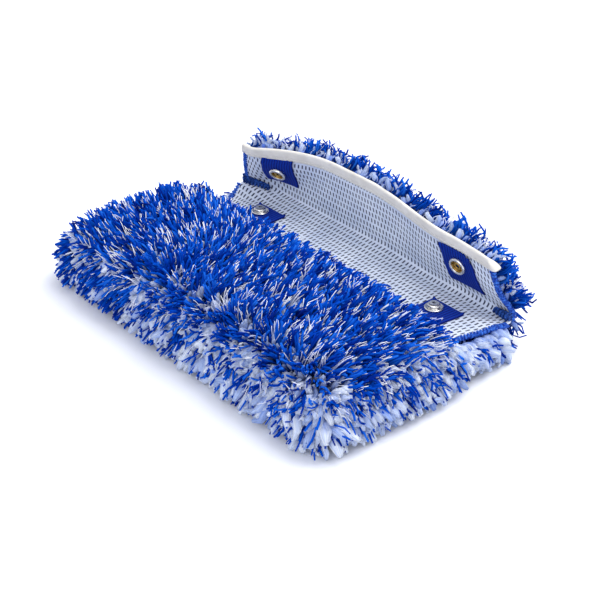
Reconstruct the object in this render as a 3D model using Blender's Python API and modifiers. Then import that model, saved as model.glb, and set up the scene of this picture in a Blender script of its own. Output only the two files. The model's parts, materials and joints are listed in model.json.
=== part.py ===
"""Envelope wash mitt: a pocket of long-pile knit with a snap-down flap.

Metres, +Z up. The origin is the middle of the footprint, on the surface the mitt lies on.
X runs along the mouth, and +Y runs from the closed end to the flap.
"""

import math

import bmesh
import bpy
from mathutils import Vector

# Driving dimensions.
WIDTH = 0.254  # knit panels, side to side
PANEL_DEPTH = 0.1473  # closed end to the flap's hinge line
FLAP_DEPTH = 0.0425  # hinge line to the flap's free edge
FLAP_TAPER = 0.008  # how far the darts pull each end of the free edge in
KNIT = 0.0012  # thickness of the knit ground
BOTTOM_PILE = 0.0215  # thickness of the pile under the bottom panel
TOP_PILE = 0.0150  # thickness of the pile on the top panel
FLAP_PILE = 0.0155  # thickness of the pile behind the flap
OVERHANG = 0.0160  # how far the pile stands out past the knit
FLAP_OVERHANG = 0.0090  # the same at the ends of the flap
PILE_CORNER = 0.0200  # corner radius of the pile in plan
PILE_EDGE = 0.0050  # roundness of the pile's outer edges
POCKET_GAP = 0.0065  # room for the hand between the panels at rest
SEAM_WIDTH = 0.0060  # seam allowance inside the pocket
STRIP_SLACK = 0.0025  # clear strip between the shut flap and the top panel
BINDING_WIDTH = 0.0070  # how far the tape reaches over each side of the flap
TAPE = 0.0008  # thickness of the binding tape
OVERLOCK = 0.0013  # radius of an overlocked edge
DART_LENGTH = 0.0220  # dart in each crease corner
DART_RADIUS = 0.0016
DART_TIP_RADIUS = 0.0006

PATCH = 0.0270  # side of a webbing patch
PATCH_THICK = 0.0009
PATCH_GAP = 0.0013  # patch to binding
SNAP_INSET = 0.0394  # centre of a snap from the side edge of the knit

SNAP_R = 0.00625  # outer radius of socket and stud
SOCKET_HEIGHT = 0.0040
SOCKET_WEB = 0.0005  # floor of the socket
SOCKET_LIP = 0.0007  # rolled lip over the spring
LIP_OPENING_R = 0.0043
SPRING_R = 0.00425  # centre line of the ring spring
SPRING_WIRE_R = 0.0003
STUD_FLANGE = 0.0008
STUD_HEAD_R = 0.00365
STUD_NECK_R = 0.0032
POST_R = 0.0021  # tube of an eyelet post
POST_BORE_R = 0.0012
POST_FLANGE_R = 0.0056
POST_FLANGE = 0.0006
POST_ROLL_R = 0.0030  # rolled-over end of a post
POST_ROLL = 0.0003

GAP = 0.0003  # between pieces that touch
REST_OPEN_DEG = 71.0  # angle between flap and bottom panel as it lies
TURNED_STEPS = 24

# Places that follow from them.
HALF_WIDTH = WIDTH / 2
KNIT_TOP = BOTTOM_PILE + GAP + KNIT  # inner face of the bottom panel
SNAP_BASE = 2 * GAP + PATCH_THICK  # seat of a snap above the knit's inner face
ROLL_TOP = SOCKET_WEB + GAP + POST_ROLL  # top of the socket's post above its seat
SHUT_GAP = 2 * SNAP_BASE + SOCKET_HEIGHT + GAP + STUD_FLANGE
HINGE_RISE = SHUT_GAP / 2  # hinge axis above the bottom panel's inner face
STUD_CROWN = SHUT_GAP - 2 * SNAP_BASE - ROLL_TOP - 2 * GAP - POST_ROLL
BEND_R = HINGE_RISE + KNIT  # outer face of the knit round the crease
CREASE_REACH = BEND_R + GAP + FLAP_PILE  # outside of the pile round the crease
HINGE_Y = (PANEL_DEPTH + OVERHANG - CREASE_REACH) / 2
HINGE_Z = KNIT_TOP + HINGE_RISE
END_Y = HINGE_Y - PANEL_DEPTH  # closed end of the knit
BINDING_REACH = GAP + TAPE  # tape past the flap's edge
STRIP_DEPTH = FLAP_DEPTH + BINDING_REACH + STRIP_SLACK
MOUTH_Y = HINGE_Y - STRIP_DEPTH - 2 * OVERLOCK - GAP  # mouth edge of the top panel
TOP_Z = KNIT_TOP + POCKET_GAP  # inner face of the top panel
SNAP_X = HALF_WIDTH - SNAP_INSET
SNAP_FROM_HINGE = FLAP_DEPTH - BINDING_WIDTH - PATCH_GAP - PATCH / 2
CREASE_TURN = 180.0 - REST_OPEN_DEG  # how far the knit turns round the crease

SIDES = (("left", -1), ("right", 1))

COLOURS = {
    "blue_pile": ((0.010, 0.070, 0.560), 0.75, 0.0),
    "pale_knit": ((0.640, 0.700, 0.820), 0.80, 0.0),
    "cream_tape": ((0.800, 0.780, 0.720), 0.80, 0.0),
    "blue_webbing": ((0.006, 0.020, 0.300), 0.60, 0.0),
    "blue_thread": ((0.030, 0.130, 0.480), 0.60, 0.0),
    "nickel": ((0.720, 0.700, 0.660), 0.22, 1.0),
    "brass": ((0.700, 0.480, 0.160), 0.30, 1.0),
}


def clear_scene():
    """Takes away whatever the scene holds."""
    for old in list(bpy.data.objects):
        bpy.data.objects.remove(old, do_unlink=True)


def make_collections():
    """One collection for the mitt's pieces and one for the cutters."""
    made = []
    for name in ("wash_mitt", "cutters"):
        collection = bpy.data.collections.new(name)
        bpy.context.scene.collection.children.link(collection)
        made.append(collection)
    return made


def make_materials():
    """A Principled material for each finish."""
    made = {}
    for name, (colour, roughness, metallic) in COLOURS.items():
        material = bpy.data.materials.new(name)
        material.use_nodes = True
        shader = material.node_tree.nodes["Principled BSDF"]
        shader.inputs["Base Color"].default_value = (*colour, 1.0)
        shader.inputs["Roughness"].default_value = roughness
        shader.inputs["Metallic"].default_value = metallic
        made[name] = material
    return made


clear_scene()
MITT, CUTTERS = make_collections()
MATERIALS = make_materials()


def add_empty(name, place, turn_x=0.0):
    """An empty on a joint's axis, which the moving pieces hang from."""
    empty = bpy.data.objects.new(name, None)
    empty.location = place
    empty.rotation_euler.x = turn_x
    MITT.objects.link(empty)
    return empty


def add_mesh(name, bm, finish, parent=None, place=(0, 0, 0), smooth=False):
    """Puts a finished bmesh into the scene as a named piece, or as a cutter if it has no finish."""
    bmesh.ops.recalc_face_normals(bm, faces=bm.faces)
    mesh = bpy.data.meshes.new(name)
    bm.to_mesh(mesh)
    bm.free()
    obj = bpy.data.objects.new(name, mesh)
    obj.location = place
    obj.parent = parent
    if finish is None:
        obj.hide_render = True
        obj.display_type = "WIRE"
        CUTTERS.objects.link(obj)
        return obj
    mesh.materials.append(MATERIALS[finish])
    MITT.objects.link(obj)
    if smooth:
        mesh.shade_smooth()
        mesh.set_sharp_from_angle(angle=math.radians(40))
    return obj


def box(low, high, far_inset=0.0):
    """A box between two corners. far_inset narrows its far end (+Y) by that much on each side."""
    bm = bmesh.new()
    bmesh.ops.create_cube(bm, size=1.0)
    middle = (Vector(low) + Vector(high)) / 2
    size = Vector(high) - Vector(low)
    for vert in bm.verts:
        far = vert.co.y > 0
        vert.co = Vector([c * s for c, s in zip(vert.co, size)]) + middle
        if far:
            vert.co.x -= math.copysign(far_inset, vert.co.x)
    return bm


def round_upright_edges(bm, radius, segments, keep=None):
    """Rounds the box's edges that run along Z, or those that keep picks."""
    edges = [e for e in bm.edges if abs((e.verts[0].co - e.verts[1].co).z) > 1e-6]
    edges = [e for e in edges if keep is None or keep(e)]
    bmesh.ops.bevel(bm, geom=edges, offset=radius, segments=segments, profile=0.5, affect="EDGES")


def round_rim(bm, z, radius, segments=2):
    """Rounds the edges that lie in the plane at height z."""
    edges = [e for e in bm.edges if all(abs(v.co.z - z) < 1e-6 for v in e.verts)]
    edges = [e for e in edges if len(e.link_faces) == 2 and e.calc_face_angle() > 0.1]
    bmesh.ops.bevel(bm, geom=edges, offset=radius, segments=segments, profile=0.5, affect="EDGES")


def cut(obj, cutters):
    """Takes each cutter out of the piece."""
    for cutter in cutters:
        modifier = obj.modifiers.new(cutter.name, "BOOLEAN")
        modifier.operation = "DIFFERENCE"
        modifier.solver = "EXACT"
        modifier.object = cutter


def drill(name, radius, low, high, x, y, parent=None):
    """A cylinder cutter that stands along Z from low to high."""
    bm = bmesh.new()
    bmesh.ops.create_cone(
        bm, cap_ends=True, segments=TURNED_STEPS, radius1=radius, radius2=radius, depth=high - low
    )
    return add_mesh(name, bm, None, parent, (x, y, (low + high) / 2))


def rod(name, start, end, radius, finish, parent=None, end_radius=None, segments=10):
    """A round bar between two points, which may taper."""
    start = Vector(start)
    run = Vector(end) - start
    bm = bmesh.new()
    bmesh.ops.create_cone(
        bm,
        cap_ends=True,
        segments=segments,
        radius1=radius,
        radius2=radius if end_radius is None else end_radius,
        depth=run.length,
    )
    turn = run.to_track_quat("Z", "Y").to_matrix().to_4x4()
    bmesh.ops.transform(bm, matrix=turn, verts=bm.verts)
    return add_mesh(name, bm, finish, parent, start + run / 2, smooth=True)


def turned(name, profile, finish, place, parent=None):
    """A closed (radius, height) profile, outer side first and top to bottom, swept round Z."""
    bm = bmesh.new()
    ring = [bm.verts.new((radius, 0, height)) for radius, height in profile]
    for a, b in zip(ring, ring[1:] + ring[:1]):
        bm.edges.new((a, b))
    mesh = bpy.data.meshes.new(name)
    bm.to_mesh(mesh)
    bm.free()
    mesh.materials.append(MATERIALS[finish])
    obj = bpy.data.objects.new(name, mesh)
    obj.location = place
    obj.parent = parent
    MITT.objects.link(obj)
    screw = obj.modifiers.new("turn", "SCREW")
    screw.steps = TURNED_STEPS
    screw.render_steps = TURNED_STEPS
    screw.use_merge_vertices = True
    screw.merge_threshold = 0.00001
    screw.use_smooth_shade = True
    return obj


def make_bottom_panel():
    """Knit ground and pile of the bottom, with the holes for the studs' posts."""
    knit = add_mesh(
        "bottom_backing",
        box((-HALF_WIDTH, END_Y, KNIT_TOP - KNIT), (HALF_WIDTH, HINGE_Y - GAP, KNIT_TOP)),
        "pale_knit",
    )
    reach = HALF_WIDTH + OVERHANG
    bm = box((-reach, END_Y - OVERHANG, 0), (reach, HINGE_Y - GAP, BOTTOM_PILE))
    middle_y = (END_Y + HINGE_Y) / 2
    round_upright_edges(bm, PILE_CORNER, 5, keep=lambda e: e.verts[0].co.y < middle_y)
    round_rim(bm, 0.0, PILE_EDGE)
    pile = add_mesh("bottom_pile", bm, "blue_pile")
    for side, sign in SIDES:
        x = sign * SNAP_X
        y = HINGE_Y - SNAP_FROM_HINGE
        top = KNIT_TOP + PATCH_THICK + 2 * GAP
        hole = drill(f"cut_bottom_hole_{side}", POST_R + GAP, BOTTOM_PILE, top, x, y)
        cut(knit, [hole])
        seat = BOTTOM_PILE - POST_FLANGE - GAP
        cut(pile, [drill(f"cut_bottom_seat_{side}", POST_FLANGE_R + GAP, seat, KNIT_TOP, x, y)])


def make_top_panel(lift):
    """Knit ground, pile and overlocked mouth edge of the top, which lift about the closed end."""
    depth = MOUTH_Y - END_Y
    low = (-HALF_WIDTH, 0, 0)
    high = (HALF_WIDTH, depth, KNIT)
    add_mesh("top_backing", box(low, high), "pale_knit", lift)
    reach = HALF_WIDTH + OVERHANG
    pile_low = (-reach, -OVERHANG, KNIT + GAP)
    pile_high = (reach, depth, KNIT + GAP + TOP_PILE)
    bm = box(pile_low, pile_high)
    round_upright_edges(bm, PILE_CORNER, 5, keep=lambda e: e.verts[0].co.y < depth / 2)
    round_rim(bm, pile_high[2], PILE_EDGE)
    add_mesh("top_pile", bm, "blue_pile", lift)
    y = depth + GAP + OVERLOCK
    start = (-HALF_WIDTH, y, KNIT / 2)
    rod("mouth_overlock", start, (HALF_WIDTH, y, KNIT / 2), OVERLOCK, "blue_thread", lift)


def make_pocket_seams():
    """The seam allowances that close the pocket at its sides and its closed end."""
    low_z = KNIT_TOP + GAP
    high_z = TOP_Z - GAP
    inner_x = HALF_WIDTH - SEAM_WIDTH
    for side, sign in SIDES:
        ends = sorted((sign * inner_x, sign * HALF_WIDTH))
        bm = box((ends[0], END_Y, low_z), (ends[1], MOUTH_Y, high_z))
        add_mesh(f"side_seam_{side}", bm, "blue_thread")
    low = (-inner_x + GAP, END_Y, low_z)
    high = (inner_x - GAP, END_Y + SEAM_WIDTH, high_z)
    add_mesh("closed_end_seam", box(low, high), "blue_thread")


def make_strip_edges():
    """Overlocked sides of the bare strip, and the dart in each crease corner."""
    edge_x = HALF_WIDTH + GAP + OVERLOCK
    edge_z = BOTTOM_PILE + GAP + OVERLOCK
    dart_z = KNIT_TOP + GAP + DART_RADIUS
    dart_y = HINGE_Y - DART_RADIUS - GAP
    for side, sign in SIDES:
        start = (sign * edge_x, MOUTH_Y + GAP, edge_z)
        end = (sign * edge_x, HINGE_Y - GAP, edge_z)
        rod(f"strip_overlock_{side}", start, end, OVERLOCK, "blue_thread")
        start = (sign * HALF_WIDTH, dart_y, dart_z)
        end = (sign * (HALF_WIDTH - DART_LENGTH), dart_y, dart_z)
        name = f"corner_dart_{side}"
        rod(name, start, end, DART_RADIUS, "blue_thread", end_radius=DART_TIP_RADIUS)


def crease_band(name, inner, outer, half_width, finish):
    """The fabric's bend round the hinge axis: a sector between two radii, swept along X."""
    turns = [-90.0 + CREASE_TURN * step / 12 for step in range(13)]
    turns = sorted({0.0, *turns})
    bm = bmesh.new()
    outline = [(inner, turn) for turn in reversed(turns)] + [(outer, turn) for turn in turns]
    verts = []
    for radius, turn in outline:
        y = radius * math.cos(math.radians(turn))
        z = radius * math.sin(math.radians(turn))
        verts.append(bm.verts.new((-half_width, y, z)))
    count = len(verts)
    for i in range(count // 2 - 1):
        bm.faces.new((verts[i], verts[i + 1], verts[count - 2 - i], verts[count - 1 - i]))
    grown = bmesh.ops.extrude_face_region(bm, geom=list(bm.faces))
    moved = [item for item in grown["geom"] if isinstance(item, bmesh.types.BMVert)]
    bmesh.ops.translate(bm, vec=(2 * half_width, 0, 0), verts=moved)
    add_mesh(name, bm, finish, None, (0, HINGE_Y, HINGE_Z))


def make_crease():
    """Knit and pile where the long panel bends; both change shape as the flap turns."""
    crease_band("crease_backing", HINGE_RISE, BEND_R, HALF_WIDTH, "pale_knit")
    reach = HALF_WIDTH + FLAP_OVERHANG
    crease_band("crease_pile", BEND_R + GAP, CREASE_REACH, reach, "blue_pile")


def make_flap(hinge):
    """Knit and pile of the flap, as if laid open flat from the hinge along +Y."""
    face = -HINGE_RISE
    low = (-HALF_WIDTH, GAP, face - KNIT)
    high = (HALF_WIDTH, FLAP_DEPTH, face)
    knit = add_mesh("flap_backing", box(low, high, FLAP_TAPER), "pale_knit", hinge)
    pile_top = face - KNIT - GAP
    reach = HALF_WIDTH + FLAP_OVERHANG
    far_y = FLAP_DEPTH + BINDING_REACH
    low = (-reach, GAP, pile_top - FLAP_PILE)
    bm = box(low, (reach, far_y, pile_top), FLAP_TAPER)
    round_upright_edges(bm, PILE_CORNER / 2, 4, keep=lambda e: e.verts[0].co.y > far_y / 2)
    pile = add_mesh("flap_pile", bm, "blue_pile", hinge)
    binding_low = (-reach, FLAP_DEPTH - BINDING_WIDTH - GAP, pile_top - TAPE - GAP)
    relief = box(binding_low, (reach, far_y + GAP, pile_top + GAP))
    cut(pile, [add_mesh("cut_binding_relief", relief, None, hinge)])
    for side, sign in SIDES:
        x = sign * SNAP_X
        low = face - KNIT - GAP
        high = face + SNAP_BASE
        hole = drill(f"cut_flap_hole_{side}", POST_R + GAP, low, high, x, SNAP_FROM_HINGE, hinge)
        cut(knit, [hole])
        low = pile_top - POST_FLANGE - GAP
        seat = drill(f"cut_flap_seat_{side}", POST_FLANGE_R + GAP, low, face, x, SNAP_FROM_HINGE, hinge)
        cut(pile, [seat])


def make_flap_edges(hinge):
    """The tape folded over the free edge, and the overlocked ends of the flap."""
    face = -HINGE_RISE
    near = FLAP_DEPTH - BINDING_WIDTH
    slope = FLAP_TAPER / (FLAP_DEPTH - GAP)
    half_at_near = HALF_WIDTH - slope * (near - GAP)
    inset = slope * (BINDING_WIDTH + BINDING_REACH)
    low = (-half_at_near, near, face - KNIT - BINDING_REACH)
    high = (half_at_near, FLAP_DEPTH + BINDING_REACH, face + BINDING_REACH)
    tape = add_mesh("flap_binding", box(low, high, inset), "cream_tape", hinge)
    slot_low = (-WIDTH, near - GAP, face - KNIT - GAP)
    slot = box(slot_low, (WIDTH, FLAP_DEPTH + GAP, face + GAP))
    cut(tape, [add_mesh("cut_binding_slot", slot, None, hinge)])
    for side, sign in SIDES:
        edge_x = HALF_WIDTH + GAP + OVERLOCK
        far = near - GAP
        z = face + OVERLOCK - KNIT
        start = (sign * edge_x, GAP, z)
        end = (sign * (edge_x - slope * (far - GAP)), far, z)
        rod(f"flap_overlock_{side}", start, end, OVERLOCK, "blue_thread", hinge)


def patch(name, x, y, face, parent):
    """A square of webbing on a knit face, with the hole for its snap's post."""
    half = PATCH / 2
    low = (x - half, y - half, face + GAP)
    piece = add_mesh(name, box(low, (x + half, y + half, face + GAP + PATCH_THICK)), "blue_webbing", parent)
    low = face - GAP
    cut(piece, [drill(f"cut_{name}", POST_R + GAP, low, face + SNAP_BASE, x, y, parent)])


def post(name, x, y, face, seat_thickness, parent):
    """An eyelet post: a flange under the knit, a tube through it, and an end rolled over the snap."""
    bottom = -KNIT - GAP - POST_FLANGE
    roll = SNAP_BASE + seat_thickness + GAP
    profile = [
        (POST_ROLL_R, roll + POST_ROLL),
        (POST_ROLL_R, roll),
        (POST_R, roll),
        (POST_R, -KNIT - GAP),
        (POST_FLANGE_R, -KNIT - GAP),
        (POST_FLANGE_R, bottom),
        (POST_BORE_R, bottom),
        (POST_BORE_R, roll + POST_ROLL),
    ]
    turned(name, profile, "nickel", (x, y, face), parent)


def socket(side, x, y, face, parent):
    """The female half of a snap: a cup with a rolled lip, and the ring spring under the lip."""
    bore = POST_R + GAP
    groove = SPRING_R + SPRING_WIRE_R + GAP
    lip_low = SOCKET_HEIGHT - SOCKET_LIP
    profile = [
        (SNAP_R - 0.0008, SOCKET_HEIGHT),
        (SNAP_R - 0.0002, SOCKET_HEIGHT - 0.0005),
        (SNAP_R, SOCKET_HEIGHT / 2),
        (SNAP_R - 0.0002, 0.0002),
        (SNAP_R - 0.0006, 0.0),
        (bore, 0.0),
        (bore, SOCKET_WEB),
        (groove, SOCKET_WEB),
        (groove, lip_low),
        (LIP_OPENING_R, lip_low),
        (LIP_OPENING_R, SOCKET_HEIGHT - 0.0002),
        (LIP_OPENING_R + 0.0004, SOCKET_HEIGHT),
    ]
    seat = face + SNAP_BASE
    turned(f"snap_socket_{side}", profile, "nickel", (x, y, seat), parent)
    wire = []
    for step in range(8):
        turn = -2 * math.pi * step / 8
        wire.append((SPRING_R + SPRING_WIRE_R * math.cos(turn), SPRING_WIRE_R * math.sin(turn)))
    spring_z = seat + lip_low - GAP - SPRING_WIRE_R
    turned(f"socket_spring_{side}", wire, "brass", (x, y, spring_z), parent)


def stud(side, x, y, face):
    """The male half of a snap: a flange and a hollow crown that swells over its neck."""
    bore = POST_R + GAP
    profile = [
        (STUD_HEAD_R - 0.0005, STUD_CROWN),
        (STUD_HEAD_R, STUD_CROWN - 0.0007),
        (STUD_NECK_R, STUD_FLANGE + 0.0004),
        (STUD_NECK_R + 0.0004, STUD_FLANGE),
        (SNAP_R - 0.0002, STUD_FLANGE),
        (SNAP_R, STUD_FLANGE / 2),
        (SNAP_R - 0.0002, 0.0),
        (bore, 0.0),
        (bore, STUD_CROWN),
    ]
    turned(f"snap_stud_{side}", profile, "nickel", (x, y, face + SNAP_BASE))


def make_snaps(hinge):
    """A patch and half a snap at each of the four places, with the posts that hold them."""
    for side, sign in SIDES:
        x = sign * SNAP_X
        y = HINGE_Y - SNAP_FROM_HINGE
        patch(f"strip_patch_{side}", x, y, KNIT_TOP, None)
        stud(side, x, y, KNIT_TOP)
        post(f"stud_post_{side}", x, y, KNIT_TOP, STUD_CROWN, None)
        patch(f"flap_patch_{side}", x, SNAP_FROM_HINGE, -HINGE_RISE, hinge)
        socket(side, x, SNAP_FROM_HINGE, -HINGE_RISE, hinge)
        post(f"socket_post_{side}", x, SNAP_FROM_HINGE, -HINGE_RISE, SOCKET_WEB, hinge)


def make_mitt():
    """The whole mitt as it lies, with its flap standing up."""
    flap_hinge = add_empty("flap_hinge", (0, HINGE_Y, HINGE_Z), math.radians(CREASE_TURN))
    mouth_lift = add_empty("mouth_lift", (0, END_Y, TOP_Z))
    make_bottom_panel()
    make_pocket_seams()
    make_strip_edges()
    make_crease()
    make_top_panel(mouth_lift)
    make_flap(flap_hinge)
    make_flap_edges(flap_hinge)
    make_snaps(flap_hinge)


make_mitt()
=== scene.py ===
"""Envelope wash mitt as it looks: knit panels, long two-colour pile, a bound flap and four snaps.

Metres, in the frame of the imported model. Lengths that follow the model are read from its nodes.
"""

import json
import math
from collections import namedtuple

import bpy
import numpy as np
from mathutils import Matrix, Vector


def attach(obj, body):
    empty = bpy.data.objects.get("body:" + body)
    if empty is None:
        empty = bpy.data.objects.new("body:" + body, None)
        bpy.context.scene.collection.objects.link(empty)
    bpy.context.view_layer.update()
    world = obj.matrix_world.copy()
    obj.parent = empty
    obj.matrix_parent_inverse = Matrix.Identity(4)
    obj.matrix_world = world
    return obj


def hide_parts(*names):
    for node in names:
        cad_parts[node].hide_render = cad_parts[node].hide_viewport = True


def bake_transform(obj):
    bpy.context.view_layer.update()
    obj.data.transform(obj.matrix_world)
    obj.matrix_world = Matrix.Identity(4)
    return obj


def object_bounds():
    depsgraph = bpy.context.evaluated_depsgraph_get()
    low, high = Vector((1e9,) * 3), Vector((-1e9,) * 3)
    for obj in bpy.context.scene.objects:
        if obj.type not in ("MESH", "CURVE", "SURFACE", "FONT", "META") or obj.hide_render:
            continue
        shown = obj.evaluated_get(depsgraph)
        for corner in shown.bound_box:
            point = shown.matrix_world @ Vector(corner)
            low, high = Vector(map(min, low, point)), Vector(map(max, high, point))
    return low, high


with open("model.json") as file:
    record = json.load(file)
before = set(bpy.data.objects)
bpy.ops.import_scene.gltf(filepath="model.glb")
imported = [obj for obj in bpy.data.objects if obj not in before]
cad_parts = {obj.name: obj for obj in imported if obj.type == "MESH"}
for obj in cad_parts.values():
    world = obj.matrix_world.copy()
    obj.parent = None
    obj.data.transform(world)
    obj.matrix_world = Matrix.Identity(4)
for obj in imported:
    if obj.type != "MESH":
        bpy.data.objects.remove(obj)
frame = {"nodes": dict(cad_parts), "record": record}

MM = 0.001
CAD_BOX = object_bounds()

# ---------------------------------------------------------------- places taken from the frame


def node_points(node):
    """The corners of a CAD node, as rows of x, y, z."""
    mesh = frame["nodes"][node].data
    flat = np.empty(len(mesh.vertices) * 3, np.float32)
    mesh.vertices.foreach_get("co", flat)
    return flat.reshape(-1, 3).astype(float)


def unit(vectors):
    """Vectors at length one, along the last axis."""
    size = np.linalg.norm(vectors, axis=-1, keepdims=True)
    return vectors / np.maximum(size, 1e-9)


JOINTS = {joint["name"]: joint for joint in frame["record"]["behaviour"]["joints"]}
HINGE = np.array(JOINTS["flap_fold"]["pos_m"], float)
FLAP_LEAN = math.radians(180.0 - JOINTS["flap_fold"]["range_deg"][1])
ACROSS = np.array([1.0, 0.0, 0.0])
UP = np.array([0.0, 0.0, 1.0])
UP_FLAP = np.array([0.0, math.cos(FLAP_LEAN), math.sin(FLAP_LEAN)])
INTO_POCKET = np.array([0.0, -math.sin(FLAP_LEAN), math.cos(FLAP_LEAN)])


def to_flap(points):
    """Points as (across, up the flap from the hinge line, towards the pocket)."""
    away = points - HINGE
    return np.stack([away @ ACROSS, away @ UP_FLAP, away @ INTO_POCKET], -1)


def from_flap(across, height, inward):
    """Points given across, up the flap from the hinge line and towards the pocket."""
    parts = np.broadcast_arrays(across, height, inward)
    return HINGE + sum(part[..., None] * way for part, way in zip(parts, (ACROSS, UP_FLAP, INTO_POCKET)))


BOTTOM_KNIT = node_points("bottom_backing")
TOP_KNIT = node_points("top_backing")
FLAP_KNIT = to_flap(node_points("flap_backing"))
HALF_WIDTH = BOTTOM_KNIT[:, 0].max()
END_Y = BOTTOM_KNIT[:, 1].min()
KNIT_TOP = BOTTOM_KNIT[:, 2].max()
KNIT = KNIT_TOP - BOTTOM_KNIT[:, 2].min()
MOUTH_Y = TOP_KNIT[:, 1].max()
TOP_Z = TOP_KNIT[:, 2].min()
FLAP_DEPTH = FLAP_KNIT[:, 1].max()
FLAP_FACE = FLAP_KNIT[:, 2].max()
STUD = node_points("snap_stud_right")
SNAP_X = STUD[:, 0].mean()
SNAP_Y = STUD[:, 1].mean()
SNAP_HEIGHT = to_flap(node_points("snap_socket_right"))[:, 1].mean()
SNAP_R = np.ptp(STUD[:, 0]) / 2
PATCH = node_points("strip_patch_right")
PATCH_HALF = np.ptp(PATCH[:, 0]) / 2
PATCH_THICK = np.ptp(PATCH[:, 2])
BINDING = to_flap(node_points("flap_binding"))
BINDING_WIDTH = FLAP_DEPTH - BINDING[:, 1].min()
TAPE = 0.8 * MM
SIDES = (("left", -1.0), ("right", 1.0))

# The pile's own sizes.
YARN_R = 0.74 * MM  # radius of a blue yarn
FINE_YARN_R = 0.27 * MM  # and of the thin white yarn between the blue
TUFT_R = 2.0 * MM  # and of a tuft of short white fibre
YARN_LENGTH = 19.0 * MM
TUFT_LENGTH = 9.5 * MM
FLOOR_GAP = 0.3 * MM
CROWN = 2.5 * MM  # how far the top panel swells
SEAM_Z = (KNIT_TOP + TOP_Z) / 2  # where the two panels meet along their seams
RIM_ROLL = 7.0 * MM  # how far in from a seam the top panel starts to roll down
WHORL = np.array([-0.0255, -0.0660])  # where the pile of the top parts
COLUMNS = 121  # columns of each knit's grid, from side to side
FLAT_ROWS = 40  # rows of the main knit that lie flat
BENT_ROWS = 66  # and rows that go round the crease and up the flap
STRIP_STOP = FLAT_ROWS + 18  # the row in the crease where the strip's overlock stops
DART_ROW = FLAT_ROWS + 21  # the row that the corner darts lie along
FLAP_START = FLAT_ROWS + 22  # the row where the flap's overlock starts


# ---------------------------------------------------------------- meshes


def new_mesh(name, points, faces, uv):
    """A mesh from whole arrays: points in rows, and one array of corners for each number of sides.

    uv holds one (u, v) for each point, kept in the map named by its key.
    """
    mesh = bpy.data.meshes.new(name)
    corners = np.concatenate([part.ravel() for part in faces]).astype(np.int32)
    sizes = np.concatenate([np.full(len(part), part.shape[1]) for part in faces])
    starts = np.concatenate([[0], np.cumsum(sizes)[:-1]]).astype(np.int32)
    mesh.vertices.add(len(points))
    mesh.vertices.foreach_set("co", points.astype(np.float32).ravel())
    mesh.loops.add(len(corners))
    mesh.loops.foreach_set("vertex_index", corners)
    mesh.polygons.add(len(sizes))
    mesh.polygons.foreach_set("loop_start", starts)
    mesh.polygons.foreach_set("use_smooth", np.full(len(sizes), True))
    mesh.update(calc_edges=True)
    for key, values in uv.items():
        layer = mesh.uv_layers.new(name=key)
        layer.uv.foreach_set("vector", values[corners].astype(np.float32).ravel())
    piece = bpy.data.objects.new(name, mesh)
    bpy.context.scene.collection.objects.link(piece)
    return piece


def blank_map(count):
    """An empty map, for a piece whose material reads places instead."""
    return {"cloth": np.zeros((count, 2))}


def grid_faces(rows, columns, wrap=False):
    """The four-sided faces of a grid of points, row by row; wrap joins the last column to the first."""
    across = columns if wrap else columns - 1
    row, column = np.meshgrid(np.arange(rows - 1), np.arange(across), indexing="ij")
    here = row * columns + column
    beside = row * columns + (column + 1) % columns
    return np.stack([here, beside, beside + columns, here + columns], -1).reshape(-1, 4)


def shell(name, inner, outer, uv):
    """A closed sheet from two grids of points: the inner one faces its columns-cross-rows side.

    The rim joins the two grids along their four edges.
    """
    rows, columns = inner.shape[:2]
    count = rows * columns
    front = grid_faces(rows, columns)
    back = front[:, ::-1] + count
    index = np.arange(count).reshape(rows, columns)
    edge = np.concatenate([index[0, :-1], index[:-1, -1], index[-1, :0:-1], index[:0:-1, 0]])
    after = np.roll(edge, -1)
    rim = np.stack([after, edge, edge + count, after + count], -1)
    points = np.concatenate([inner.reshape(-1, 3), outer.reshape(-1, 3)])
    both = np.concatenate([uv.reshape(-1, 2)] * 2)
    return new_mesh(name, points, [np.concatenate([front, back, rim])], {"cloth": both})


def grid_normals(grid):
    """The unit normal at each point of a grid: along the columns crossed with along the rows."""
    return unit(np.cross(np.gradient(grid, axis=1), np.gradient(grid, axis=0)))


def on_grid(grid, row, column):
    """Values of a grid at fractional rows and columns, bilinear between the four round each."""
    row = np.clip(row, 0, grid.shape[0] - 1.001)
    column = np.clip(column, 0, grid.shape[1] - 1.001)
    r0, c0 = row.astype(int), column.astype(int)
    fr, fc = (row - r0)[..., None], (column - c0)[..., None]
    near = grid[r0, c0] * (1 - fc) + grid[r0, c0 + 1] * fc
    far = grid[r0 + 1, c0] * (1 - fc) + grid[r0 + 1, c0 + 1] * fc
    return near * (1 - fr) + far * fr


def smooth_step(low, high, value):
    """0 below low, 1 above high, and an S curve between."""
    t = np.clip((value - low) / (high - low), 0, 1)
    return t * t * (3 - 2 * t)


def tube_rings(lines, radii, sides):
    """Rings of points round many paths at once, and the direction round each.

    lines is (paths, places, 3). The ring's two directions at a place are square to the path there:
    one is the path crossed with a fixed side of its own, the other is the path crossed with that.
    """
    heading = unit(np.gradient(lines, axis=1))
    chord = unit(lines[:, -1] - lines[:, 0])
    bow = lines[:, lines.shape[1] // 2] - (lines[:, -1] + lines[:, 0]) / 2
    spare = np.where(np.abs(chord[:, 2:3]) < 0.8, UP, ACROSS)
    fixed = unit(np.cross(chord, bow + 0.2 * MM * spare))
    first = unit(np.cross(heading, fixed[:, None, :]))
    second = np.cross(heading, first)
    turn = 2 * math.pi * np.arange(sides) / sides
    around = first[:, :, None] * np.cos(turn)[:, None] + second[:, :, None] * np.sin(turn)[:, None]
    if radii.ndim == 2:
        radii = radii[:, :, None]
    return lines[:, :, None, :] + around * radii[..., None]


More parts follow.
